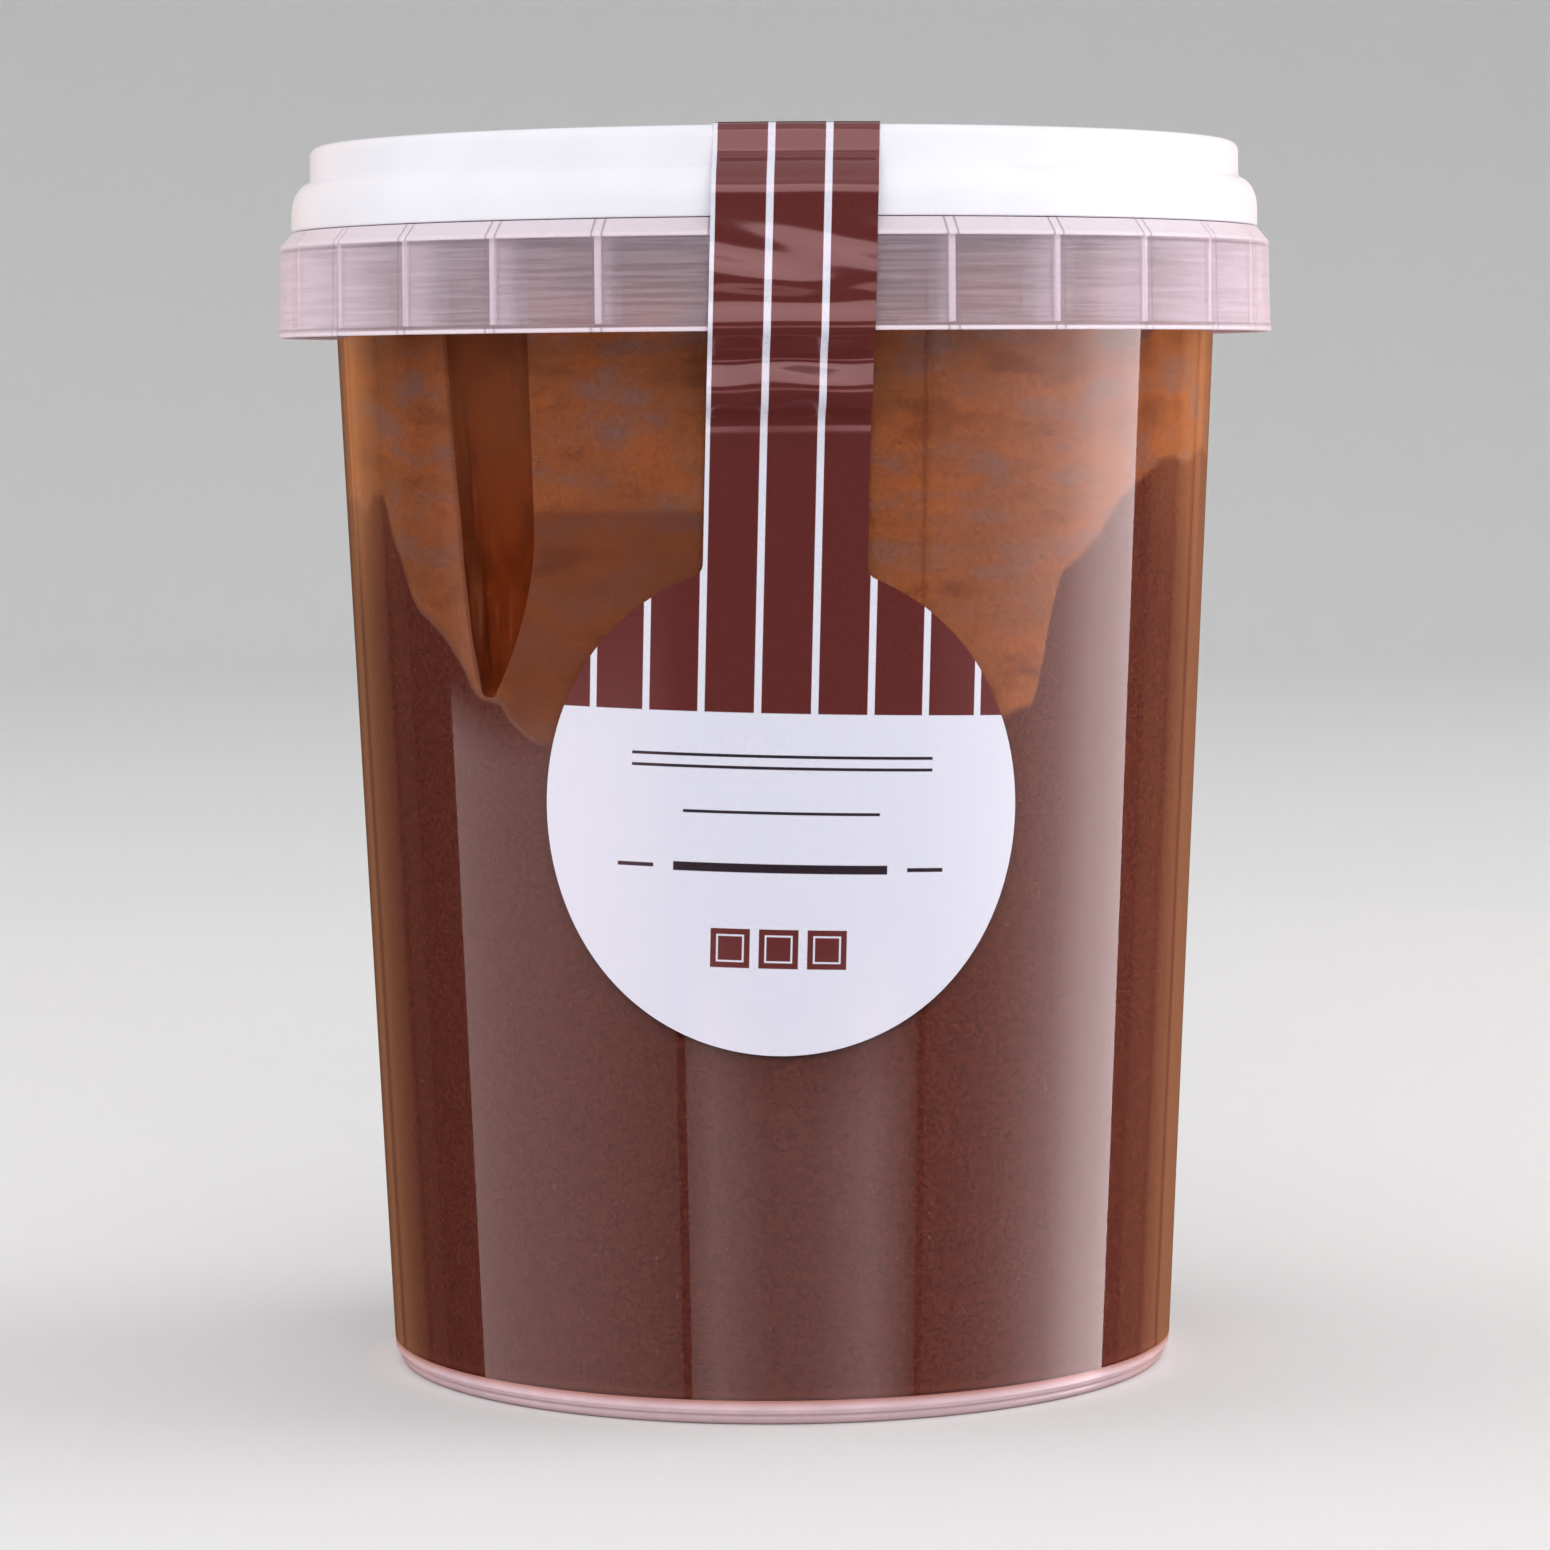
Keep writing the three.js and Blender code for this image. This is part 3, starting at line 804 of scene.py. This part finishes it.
def frosted_plastic(tub):
    """Milky moulded plastic with faint streaks round it. Its edges and its ledge hide more, and its
    edges are painted whiter as a highlight. Dark lines run above its lower edge, and as painted
    shade under its top edge and beside each web.
    """
    w = new_material("frosted plastic")
    place = w.object_place()
    x, y, height = w.apart(place)
    streaks = w.noise(w.stretched(place, (0.06, 0.06, 2.2)), 1.0, 2.0, 0.6)
    low_edge, high_edge = tub.collar_bottom + 0.5, tub.collar_top - 0.3
    # The edges are painted whiter as a highlight, and also hide more of what is behind them.
    low_edge_highlight = w.step(height, low_edge + 0.15, low_edge - 0.15)
    highlit_edges = w.most(low_edge_highlight, w.step(height, high_edge - 0.1, high_edge + 0.2))
    # Dark lines: one above the lower edge, and one under the top edge that is painted shade of the
    # flange.
    low_line = w.band(height, low_edge + 0.3, 0.12, 0.1)
    dark_lines = w.most(low_line, w.band(height, high_edge - 0.28, 0.14, 0.1))
    turns = w.times(w.azimuth(x, y), tub.webs / math.tau)
    in_turn = w.math("FRACT", w.math("ADD", turns, 1.0))
    from_web = w.math("ABSOLUTE", w.math("SUBTRACT", in_turn, 0.5))
    # Painted shade lines beside each web, where it meets the collar.
    web_shade_lines = w.band(from_web, 0.046, 0.008, 0.01)
    dark_lines = w.most(w.times(dark_lines, 0.7), web_shade_lines)
    # Lighter frost for the painted highlight on the edges.
    white = tuple(part + 0.25 * (1 - part) for part in tub.frost)
    body = w.mix(w.step(streaks, 0.35, 0.65), tint(tub.frost, 0.88), tint(tub.frost))
    body = w.mix(highlit_edges, body, tint(white))
    body = w.mix(w.times(dark_lines, 0.9), body, tint(tub.frost, 0.4))
    thin = w.step(streaks, 0.3, 0.7, 0.14, 0.2)
    slant = w.node("ShaderNodeLayerWeight", {"Blend": 0.5}).outputs["Facing"]
    milky = w.math("MULTIPLY_ADD", w.math("POWER", slant, 1.5), 0.6, thin)
    clouded = w.most(w.times(dark_lines, 0.5), w.times(highlit_edges, 0.8))
    return w.skin(
        base_color=body,
        roughness=0.4,
        ior=PLASTIC_IOR,
        specular_ior_level=0.3,
        alpha=w.most(milky, clouded),
        sheen_weight=0.25,
        normal=w.bump(streaks, 0.03, 0.0002),
    )


def frosted_web(tub):
    """The webs' plastic, which fades from sight towards the wall, far behind the frosted collar."""
    w = new_material("frosted web")
    x, y, _ = w.apart(w.object_place())
    outward = w.node("ShaderNodeVectorMath", {0: w.joined(x, y, 0.0)}, operation="LENGTH")
    solid = w.step(outward.outputs["Value"], 53.0, 57.4, 0.15, 0.95)
    return w.skin(base_color=tint(tub.frost), roughness=0.4, ior=PLASTIC_IOR, alpha=solid)


def foot_plastic(tub):
    """The foot, where thick plastic turns a milky pink, partly as painted glow of light from the
    table, and the cream shows through blurred. It is darker at the very bottom, with a dark line
    along its step.
    """
    w = new_material("milky foot with painted glow")
    place = w.object_place()
    height = w.apart(place)[2]
    cloud = w.noise(place, 0.3, 1.0)
    line = tint(tub.foot, 0.55)
    # A dark line along the foot's step.
    step_line = w.times(w.band(height, tub.foot_step, 0.12, 0.15), 0.6)
    body = w.mix(w.step(height, 0.9, 1.6), tint(tub.foot, 0.78), tint(tub.foot))
    body = w.mix(w.step(cloud, 0.3, 0.7, 0.0, 0.2), body, line)
    body = w.mix(step_line, body, line)
    body = w.mix(w.step(height, 1.9, 3.1), body, tint(tub.blur))
    return w.skin(base_color=body, roughness=0.22, ior=PLASTIC_IOR)


def white_plastic(lid):
    w = new_material("white plastic")
    place = w.object_place()
    cloud = w.step(w.noise(place, 0.06, 2.0), 0.4, 0.6)
    grain = w.noise(place, 3.5, 1.0)
    return w.skin(
        base_color=w.mix(cloud, tint(lid.white, 0.965), tint(lid.white)),
        roughness=w.step(grain, 0.3, 0.7, 0.34, 0.44),
        normal=w.bump(grain, 0.12, 0.0001),
    )


def smear_edge(w, azimuth):
    """Height of the smear's lower edge by the azimuth in degrees."""
    off = w.math("ADD", azimuth, -SMEAR_MIDDLE)
    share = w.math("MINIMUM", w.math("DIVIDE", w.math("ABSOLUTE", off), SMEAR_REACH), 1.04)
    left = w.math("MULTIPLY_ADD", w.math("POWER", share, 2.7), 28.0, SMEAR_LOWEST)
    right = w.math("MULTIPLY_ADD", w.math("POWER", share, 1.9), 20.0, SMEAR_LOWEST)
    right = w.math("ADD", right, w.step(azimuth, 34.5, 40.0, 0.0, 14.0))
    on_right = w.math("GREATER_THAN", off, 0.0)
    rise = w.math("SUBTRACT", right, left)
    return w.math("MULTIPLY_ADD", on_right, rise, left)


def cream_colour(w, cream):
    """Plain cream below, and above it a thin smear in soft orange and grey clouds, with a painted
    glow along the air gap's left edge.
    """
    place = w.object_place()
    x, y, z = w.apart(place)
    azimuth = w.math("DEGREES", w.azimuth(x, y))
    flat = w.joined(w.times(azimuth, 0.88), z, 0.0)
    waves = w.math("MULTIPLY_ADD", w.noise(flat, 0.11, 1.0), 7.0, -3.5)
    above = w.math("SUBTRACT", w.math("ADD", z, waves), smear_edge(w, azimuth))
    smeared = w.step(above, -0.7, 0.9)
    upper = w.step(z, cream.smear_line - 0.5, cream.smear_line + 0.7, 0.5, 1.0)
    right_side = w.step(azimuth, 2.0, 14.0)
    left_side = w.step(azimuth, -28.0, -44.0)
    warm = w.most(w.most(upper, right_side), left_side)

    speckle = w.noise(place, 2.4, 1.0, 0.7)
    dim = tint(cream.brown, 0.78)
    plain = w.mix(w.step(speckle, 0.35, 0.65), dim, tint(cream.brown, 1.24))
    plain = w.mix(w.step(z, 4.4, 2.8, 0.0, 0.7), plain, tint(cream.brown, 1.9))

    drawn = w.noise(w.stretched(flat, (0.06, 0.15, 1.0)), 1.0, 3.0, 0.6)
    patches = w.noise(w.stretched(flat, (0.09, 0.2, 1.0), (5.0, 2.0, 0.0)), 1.0, 2.0, 0.6)
    film = w.mix(w.step(drawn, 0.35, 0.7), tint(cream.smear), tint(cream.orange))
    cool = w.times(w.step(patches, 0.46, 0.7), w.step(z, 84.0, 112.0, 0.35, 0.9))
    film = w.mix(cool, film, tint(cream.grey))
    film = w.mix(w.step(patches, 0.46, 0.3, 0.0, 0.4), film, dim)
    film = w.mix(w.step(speckle, 0.3, 0.7, 0.0, 0.3), film, dim)
    film = w.mix(w.times(w.band(azimuth, 18.8, 0.25, 0.35), 0.4), film, dim)
    # Painted glow, paler, along the air gap's left edge, stronger lower down.
    past_tip = w.most(w.math("SUBTRACT", z, cream.tip_height), 0.0)
    share = w.math("DIVIDE", past_tip, cream.full_height - cream.tip_height)
    spread = w.times(w.math("POWER", share, GAP_TAPER), math.degrees(cream.left_reach))
    beside = w.math("SUBTRACT", math.degrees(cream.tip_azimuth), w.math("ADD", azimuth, spread))
    strip = w.times(w.step(beside, 5.0, 0.6), w.step(beside, -0.8, -0.2))
    strip = w.times(strip, w.step(z, 112.0, 86.0, 0.1, 0.32))
    film = w.mix(strip, film, tint(cream.pale))
    body = w.mix(w.times(warm, smeared), plain, film)

    rim = w.math("SUBTRACT", 1.0, w.step(w.math("ABSOLUTE", above), 0.1, 0.55))
    rim = w.times(rim, w.step(azimuth, -30.0, -36.0))
    rim = w.times(rim, w.step(azimuth, -59.0, -56.0))
    body = w.mix(w.times(rim, 0.4), body, tint(cream.bubble_tint))
    return body, speckle


def pressed_cream(cream):
    """Cream pressed to the wall, which hides its own gloss."""
    w = new_material("chocolate cream")
    body, speckle = cream_colour(w, cream)
    return w.skin(
        base_color=body,
        roughness=w.step(speckle, 0.3, 0.7, 0.55, 0.65),
        specular_ior_level=0.0,
    )


def free_cream(cream):
    """The glossier cream across the air gap, with streaks down it. Its darker colour is partly
    painted shade of the recess.
    """
    w = new_material("cream across the air gap")
    place = w.object_place()
    streak = w.noise(w.stretched(place, (0.5, 0.5, 0.05)), 1.0, 2.0, 0.65)
    blot = w.noise(w.stretched(place, (0.2, 0.2, 0.12)), 1.0, 2.0, 0.6)
    # Darker cream in blots, partly painted shade of the recess.
    body = w.mix(w.step(blot, 0.38, 0.6), tint(cream.gap, 0.62), tint(cream.gap))
    body = w.mix(w.step(streak, 0.52, 0.74, 0.0, 0.35), body, tint(cream.orange))
    height = w.apart(place)[2]
    body = w.mix(w.step(height, 94.0, 116.0, 0.0, 0.4), body, tint(cream.smear))
    return w.skin(
        base_color=body,
        roughness=0.5,
        specular_ior_level=0.05,
        normal=w.bump(streak, 0.3, 0.0004),
    )


def bubble_skin(cream):
    w = new_material("bubble in the cream")
    cloud = w.noise(w.object_place(), 0.3, 2.0)
    return w.skin(
        base_color=w.mix(cloud, tint(cream.brown), tint(cream.bubble_tint)),
        roughness=0.5,
        specular_ior_level=0.2,
    )


def box_mask(w, x, t, centre, size):
    across = w.band(x, centre[0], size[0] / 2)
    return w.times(across, w.band(t, centre[1], size[1] / 2))


def label_paper(label):
    """Coated paper: brown with white stripes, and a white field with rules and three squares."""
    w = new_material("label paper")
    uv = w.result("ShaderNodeUVMap", uv_map="print")
    u, v, _ = w.apart(uv)
    x = w.math("MULTIPLY_ADD", u, UV_SPAN, -0.5 * UV_SPAN)
    t = w.math("MULTIPLY_ADD", v, UV_SPAN, -0.25 * UV_SPAN)
    across = w.math("SUBTRACT", x, label.first_stripe - label.pitch / 2)
    in_pitch = w.math("FLOORED_MODULO", across, label.pitch)
    stripe = w.band(in_pitch, label.pitch / 2, label.stripe / 2)
    white_field = w.step(t, label.field_top + 0.06, label.field_top - 0.06)
    fibres = w.noise(w.joined(w.times(x, 3.0), t, 0.0), 1.2, 4.0, 0.7)
    ground = w.mix(w.step(fibres, 0.35, 0.65), tint(label.brown, 0.9), tint(label.brown))
    ground = w.mix(w.most(stripe, white_field), ground, tint(label.white))

    rules = [
        ((0.0, 5.9), (34.0, 0.34)),
        ((0.0, 4.6), (34.0, 0.34)),
        ((0.0, -0.4), (22.0, 0.34)),
        ((0.0, -6.6), (24.0, 1.0)),
        ((-16.4, -6.6), (4.2, 0.45)),
        ((16.4, -6.6), (4.2, 0.45)),
    ]
    ink = None
    for centre, size in rules:
        mask = box_mask(w, x, t, centre, size)
        ink = mask if ink is None else w.most(ink, mask)
    ground = w.mix(ink, ground, tint(label.ink))
    for step in (-1, 0, 1):
        centre = (step * 5.4, -15.6)
        ground = w.mix(box_mask(w, x, t, centre, (4.4, 4.4)), ground, tint(label.brown))
        inset = w.math(
            "SUBTRACT",
            box_mask(w, x, t, centre, (3.1, 3.1)),
            box_mask(w, x, t, centre, (2.7, 2.7)),
        )
        ground = w.mix(inset, ground, tint(label.white))
    return w.skin(
        base_color=ground,
        roughness=w.step(fibres, 0.3, 0.7, 0.12, 0.16),
        specular_ior_level=0.9,
        specular_tint=(1.0, 0.62, 0.64, 1.0),
        normal=w.bump(fibres, 0.12, 0.00006),
    )


def floor_paint(stage):
    w = new_material("studio floor")
    cloud = w.noise(w.object_place(), 0.004, 0.0)
    body = w.mix(cloud, tint(stage.floor, 0.985), tint(stage.floor))
    return w.skin(base_color=body, roughness=0.8)


# ---------------------------------------------------------------- geometry nodes


class NodeShape:
    """A Geometry Nodes tree with named inputs, run once on a mesh to give a plain mesh."""

    def __init__(self, name, inputs):
        self.tree = bpy.data.node_groups.new(name, "GeometryNodeTree")
        face = self.tree.interface
        face.new_socket("Geometry", in_out="INPUT", socket_type="NodeSocketGeometry")
        self.sockets = {}
        self.values = {}
        for label, (kind, value) in inputs.items():
            self.sockets[label] = face.new_socket(label, in_out="INPUT", socket_type=kind)
            self.values[label] = value
        face.new_socket("Geometry", in_out="OUTPUT", socket_type="NodeSocketGeometry")
        self.w = Wiring(self.tree)
        self.given = self.w.node("NodeGroupInput").outputs

    def finish(self, instances, material):
        """Ends the tree: realizes the instances and gives them their material."""
        real = self.w.result("GeometryNodeRealizeInstances", {"Geometry": instances})
        skin = self.w.node("GeometryNodeSetMaterial", {"Geometry": real, "Material": material})
        self.w.node("NodeGroupOutput", {"Geometry": skin.outputs[0]})

    def made_on(self, name, mesh, material):
        """A plain object of what the tree makes of the mesh."""
        carrier = bpy.data.objects.new(name, mesh)
        bpy.context.scene.collection.objects.link(carrier)
        modifier = carrier.modifiers.new(name, "NODES")
        modifier.node_group = self.tree
        for label, value in self.values.items():
            modifier[self.sockets[label].identifier] = value
        graph = bpy.context.evaluated_depsgraph_get()
        result = bpy.data.meshes.new_from_object(carrier.evaluated_get(graph))
        bpy.data.objects.remove(carrier)
        if not result.polygons:
            raise RuntimeError(f"the {name} tree made nothing")
        result.materials.clear()
        return finished(name, result, material)


def web_object(tub, material):
    """Webs between the wall and the collar, one cube for each point of a circle."""
    inner = wall_radius(tub.web_bottom, tub) - 0.25
    outer = tub.collar_radius - tub.collar_wall + 0.3
    top = tub.ledge - 1.3
    shape = NodeShape(
        "webs",
        {
            "Count": ("NodeSocketInt", tub.webs),
            "Radius": ("NodeSocketFloat", (inner + outer) / 2 * MM),
            "Depth": ("NodeSocketFloat", (outer - inner) * MM),
            "Thickness": ("NodeSocketFloat", tub.web * MM),
            "Height": ("NodeSocketFloat", (top - tub.web_bottom) * MM),
            "Middle": ("NodeSocketFloat", (top + tub.web_bottom) / 2 * MM),
        },
    )
    w, given = shape.w, shape.given
    line = w.result("GeometryNodeMeshLine", {"Count": given["Count"]}, mode="OFFSET")
    index = w.result("GeometryNodeInputIndex")
    turn = w.math("DIVIDE", math.tau, given["Count"])
    azimuth = w.times(w.math("ADD", index, 0.5), turn)
    x = w.times(given["Radius"], w.math("SINE", azimuth))
    y = w.times(given["Radius"], w.times(w.math("COSINE", azimuth), -1.0))
    place = w.joined(x, y, given["Middle"])
    ring = w.result("GeometryNodeSetPosition", {"Geometry": line, "Position": place})
    size = w.joined(given["Thickness"], given["Depth"], given["Height"])
    slab = w.result("GeometryNodeMeshCube", {"Size": size})
    spin = w.joined(0.0, 0.0, azimuth)
    copies = w.result(
        "GeometryNodeInstanceOnPoints", {"Points": ring, "Instance": slab, "Rotation": spin}
    )
    shape.finish(copies, material)
    return shape.made_on("webs", mesh_of("web carrier", [(0, 0, 0)], []), material)


def bubble_object(cream, tub, surface, material):
    """Small flattened bubbles on the cream's side, a few dozen facets each."""
    shape = NodeShape(
        "bubbles",
        {
            "Density": ("NodeSocketFloat", cream.bubbles / MM**2),
            "Radius": ("NodeSocketFloat", cream.bubble * MM),
            "Bottom": ("NodeSocketFloat", (tub.floor + 2) * MM),
            "Top": ("NodeSocketFloat", (tub.collar_bottom + 6) * MM),
            "Seed": ("NodeSocketInt", 7),
        },
    )
    w, given = shape.w, shape.given
    height = w.apart(w.result("GeometryNodeInputPosition"))[2]
    above = w.math("GREATER_THAN", height, given["Bottom"])
    below = w.math("LESS_THAN", height, given["Top"])
    spread = w.node(
        "GeometryNodeDistributePointsOnFaces",
        {
            "Mesh": given["Geometry"],
            "Selection": w.times(above, below),
            "Density": given["Density"],
            "Seed": given["Seed"],
        },
    )
    ball = w.node("GeometryNodeMeshIcoSphere", {"Radius": given["Radius"], "Subdivisions": 2})
    draw = w.node(
        "FunctionNodeRandomValue", {2: 0.0, 3: 1.0, "Seed": given["Seed"]}, data_type="FLOAT"
    ).outputs[1]
    scale = w.math("MULTIPLY_ADD", w.math("POWER", draw, 3.0), 0.68, 0.32)
    copies = w.result(
        "GeometryNodeInstanceOnPoints",
        {
            "Points": spread.outputs["Points"],
            "Instance": ball.outputs[0],
            "Rotation": spread.outputs["Rotation"],
            "Scale": w.joined(scale, scale, w.times(scale, 0.4)),
        },
    )
    shape.finish(copies, material)
    return shape.made_on("bubbles", surface.copy(), material)


# ---------------------------------------------------------------- operators


class PieceOperator:
    bl_options = {"REGISTER", "UNDO"}

    def sizes(self, context):
        """The sizes and looks of tub, lid, cream, label and stage."""
        return [in_millimetres(getattr(context.scene, name)) for name in GROUPS]


class MakeWall(PieceOperator, Operator):
    """Make the clear foot, tapered wall and rim"""

    bl_idname = "cream_tub.wall"
    bl_label = "Clear Wall"

    def execute(self, context):
        tub, *_ = self.sizes(context)
        mesh = turned_mesh("clear_wall", wall_profile(tub))
        for face in mesh.polygons:
            middle = face.center / MM
            low, outer = middle.z < tub.milky_to, middle.xy.length > tub.foot_inner - 1
            face.material_index = int(low and outer)
        wall = finished("clear_wall", mesh, clear_plastic(tub), foot_plastic(tub))
        belongs(wall, "tub")
        return {"FINISHED"}


class MakeCollar(PieceOperator, Operator):
    """Make the frosted collar and the webs behind it"""

    bl_idname = "cream_tub.collar"
    bl_label = "Collar and Webs"

    def execute(self, context):
        tub, *_ = self.sizes(context)
        ring = finished("collar", turned_mesh("collar", collar_profile(tub)), frosted_plastic(tub))
        belongs(ring, "tub")
        belongs(web_object(tub, frosted_web(tub)), "tub")
        return {"FINISHED"}


class MakeLid(PieceOperator, Operator):
    """Make the white lid"""

    bl_idname = "cream_tub.lid"
    bl_label = "Lid"

    def execute(self, context):
        _, lid, *_ = self.sizes(context)
        mesh = turned_mesh("white_lid", lid_profile(lid))
        belongs(finished("white_lid", mesh, white_plastic(lid)), "lid")
        return {"FINISHED"}


class MakeCream(PieceOperator, Operator):
    """Make the cream with its air gap, and the small bubbles in it"""

    bl_idname = "cream_tub.cream"
    bl_label = "Cream and Bubbles"

    def execute(self, context):
        tub, _, cream, *_ = self.sizes(context)
        mesh = cream_mesh(cream, tub)
        body = finished("cream_fill", mesh, pressed_cream(cream), free_cream(cream))
        belongs(body, "cream")
        bubbles = bubble_object(cream, tub, body.data, bubble_skin(cream))
        belongs(bubbles, "cream")
        return {"FINISHED"}


class MakeLabel(PieceOperator, Operator):
    """Make the paper label over lid, collar and wall"""

    bl_idname = "cream_tub.label"
    bl_label = "Label"

    def execute(self, context):
        tub, lid, _, label, _ = self.sizes(context)
        paper = finished("seal_label", label_mesh(label, tub, lid), label_paper(label))
        belongs(paper, "label")
        return {"FINISHED"}


def softbox(name, azimuth, distance, height, size, radiance):
    """An area light that faces the tub. Azimuth is in degrees, and lengths are in metres."""
    data = bpy.data.lights.new(name, "AREA")
    data.shape = "RECTANGLE"
    data.size, data.size_y = size
    data.energy = radiance * math.pi * size[0] * size[1]
    light = bpy.data.objects.new(name, data)
    a = math.radians(azimuth)
    light.location = (distance * math.sin(a), -distance * math.cos(a), height)
    aim = Vector((0, 0, min(height, 0.08))) - light.location
    light.rotation_euler = aim.to_track_quat("-Z", "Y").to_euler()
    light.visible_camera = False
    bpy.context.scene.collection.objects.link(light)
    return light


def card(name, strengths, tone, heights=(-0.25, 0.5), soft_top=0.02, soft_low=0.02):
    """An upright card that only shows as a reflection, with the values that CARDS explains."""
    azimuths = sorted(strengths)
    middle = (azimuths[0] + azimuths[-1]) / 2
    half = math.radians(azimuths[-1] - middle)
    width = 2 * CARD_DISTANCE * math.sin(half)
    low, high = heights
    light = softbox(
        name,
        middle,
        CARD_DISTANCE * math.cos(half),
        (low + high) / 2,
        (width, high - low),
        CARD_POWER,
    )
    inward = Vector((-light.location.x, -light.location.y, 0))
    light.rotation_euler = inward.to_track_quat("-Z", "Y").to_euler()
    light.visible_diffuse = False
    light.data.color = tone
    light.data.use_nodes = True
    w = Wiring(light.data.node_tree)
    across, up, _ = w.apart(w.node("ShaderNodeNewGeometry").outputs["Parametric"])
    ramp = w.node("ShaderNodeValToRGB", {"Fac": across})
    strongest = max(strengths.values())
    stops = ramp.color_ramp.elements
    for _ in azimuths[2:]:
        stops.new(0.5)
    for stop, azimuth in zip(stops, azimuths):
        share = math.tan(math.radians(azimuth - middle)) / math.tan(half)
        stop.position = 0.5 + 0.5 * share
    for stop, azimuth in zip(stops, azimuths):  # only now, as placing a stop can change their order
        level = strengths[azimuth] / strongest
        stop.color = (level, level, level, 1)
    top_fade = w.step(up, 1.0, 1.0 - soft_top, 0.0, strongest / CARD_POWER)
    glow = w.times(ramp.outputs[0], w.times(top_fade, w.step(up, 0.0, soft_low)))
    lamp = w.result("ShaderNodeEmission", {"Strength": glow})
    w.node("ShaderNodeOutputLight", {"Surface": lamp})


class MakeStage(PieceOperator, Operator):
    """Make the pale floor and backdrop, the soft lights and the camera"""

    bl_idname = "cream_tub.stage"
    bl_label = "Studio"

    def execute(self, context):
        stage = self.sizes(context)[-1]
        self.floor(stage)
        self.lights(stage)
        self.camera(context.scene)
        return {"FINISHED"}

    def floor(self, stage):
        flat, bend, wall = 1500, 900, 950  # radius of the flat part, its bend, and the wall's top
        rise = arc((flat, bend), (bend, bend), -90, 0, 24)
        sweep = [(0, 0), (300, 0), *rise, (flat + bend, wall)]
        under = [(r + 10 if r else 0, z - 10) for r, z in reversed(sweep)]
        mesh = turned_mesh("studio_floor", [*sweep, *under], 96)
        bowl = finished("studio_floor", mesh, floor_paint(stage))
        bowl.visible_glossy = bowl.visible_transmission = False

    def lights(self, stage):
        softbox("overhead light", 20, 0.15, 0.95, (0.9, 0.9), stage.overhead)
        softbox("key light", 0, 0.95, 0.5, (1.2, 0.5), stage.key)
        for name, azimuth, radiance in (("left", -95, stage.left), ("right", 98, stage.right)):
            side = softbox(f"{name} fill", azimuth, 1.3, 0.42, (1.1, 0.65), radiance)
            side.data.spread = math.radians(150)
            side.visible_glossy = side.visible_transmission = False
        for name, values in CARDS.items():
            card(name, *values)
        world = bpy.data.worlds.new("studio")
        world.use_nodes = True
        w = Wiring(world.node_tree)
        up = w.apart(w.node("ShaderNodeTexCoord").outputs["Generated"])[2]
        even = w.step(up, 0.3, 0.75, 0.01, stage.sky)
        sky = w.times(even, w.step(up, 1.0, 0.8, 0.55, 1.0))
        air = w.node("ShaderNodeBackground", {"Color": (0.95, 0.97, 1.0, 1.0), "Strength": sky})
        w.node("ShaderNodeOutputWorld", {"Surface": air.outputs[0]})
        bpy.context.scene.world = world

    def camera(self, scene):
        data = bpy.data.cameras.new("camera")
        data.sensor_width = 36
        data.lens = data.sensor_width * FOCAL / PIXELS
        data.clip_start, data.clip_end = 0.01, 10
        camera = bpy.data.objects.new("camera", data)
        camera.location = CAMERA_PLACE
        ahead = Vector((0, math.cos(CAMERA_PITCH), -math.sin(CAMERA_PITCH)))
        camera.rotation_mode = "QUATERNION"
        roll = Quaternion((0, 0, 1), -CAMERA_ROLL)
        camera.rotation_quaternion = ahead.to_track_quat("-Z", "Y") @ roll
        scene.collection.objects.link(camera)
        scene.camera = camera
        scene.view_settings.view_transform = "Standard"
        scene.cycles.denoising_input_passes = "RGB"  # guides through the clear wall are too noisy
        scene.cycles.sampling_pattern = "TABULATED_SOBOL"


class CREAM_PT_tub(Panel):
    bl_label = "Cream Tub"
    bl_space_type = "VIEW_3D"
    bl_region_type = "UI"
    bl_category = "Cream Tub"

    def draw(self, context):
        for operator in OPERATORS:
            self.layout.operator(operator.bl_idname)
        for name in GROUPS:
            box = self.layout.box()
            group = getattr(context.scene, name)
            for prop in group.bl_rna.properties:
                if prop.identifier not in ("rna_type", "name"):
                    box.prop(group, prop.identifier)


GROUPS = {
    "cream_tub": TubSizes,
    "cream_lid": LidSizes,
    "cream_body": CreamLook,
    "cream_label": LabelLook,
    "cream_stage": StageLook,
}
OPERATORS = (MakeWall, MakeCollar, MakeLid, MakeCream, MakeLabel, MakeStage)


def register():
    for name, group in GROUPS.items():
        bpy.utils.register_class(group)
        setattr(bpy.types.Scene, name, PointerProperty(type=group))
    for operator in OPERATORS:
        bpy.utils.register_class(operator)
    bpy.utils.register_class(CREAM_PT_tub)


def unregister():
    bpy.utils.unregister_class(CREAM_PT_tub)
    for operator in reversed(OPERATORS):
        bpy.utils.unregister_class(operator)
    for name, group in GROUPS.items():
        delattr(bpy.types.Scene, name)
        bpy.utils.unregister_class(group)


def main():
    register()
    bpy.ops.cream_tub.wall()
    bpy.ops.cream_tub.collar()
    bpy.ops.cream_tub.lid()
    bpy.ops.cream_tub.cream()
    bpy.ops.cream_tub.label()
    bpy.ops.cream_tub.stage()


if __name__ == "__main__":
    main()
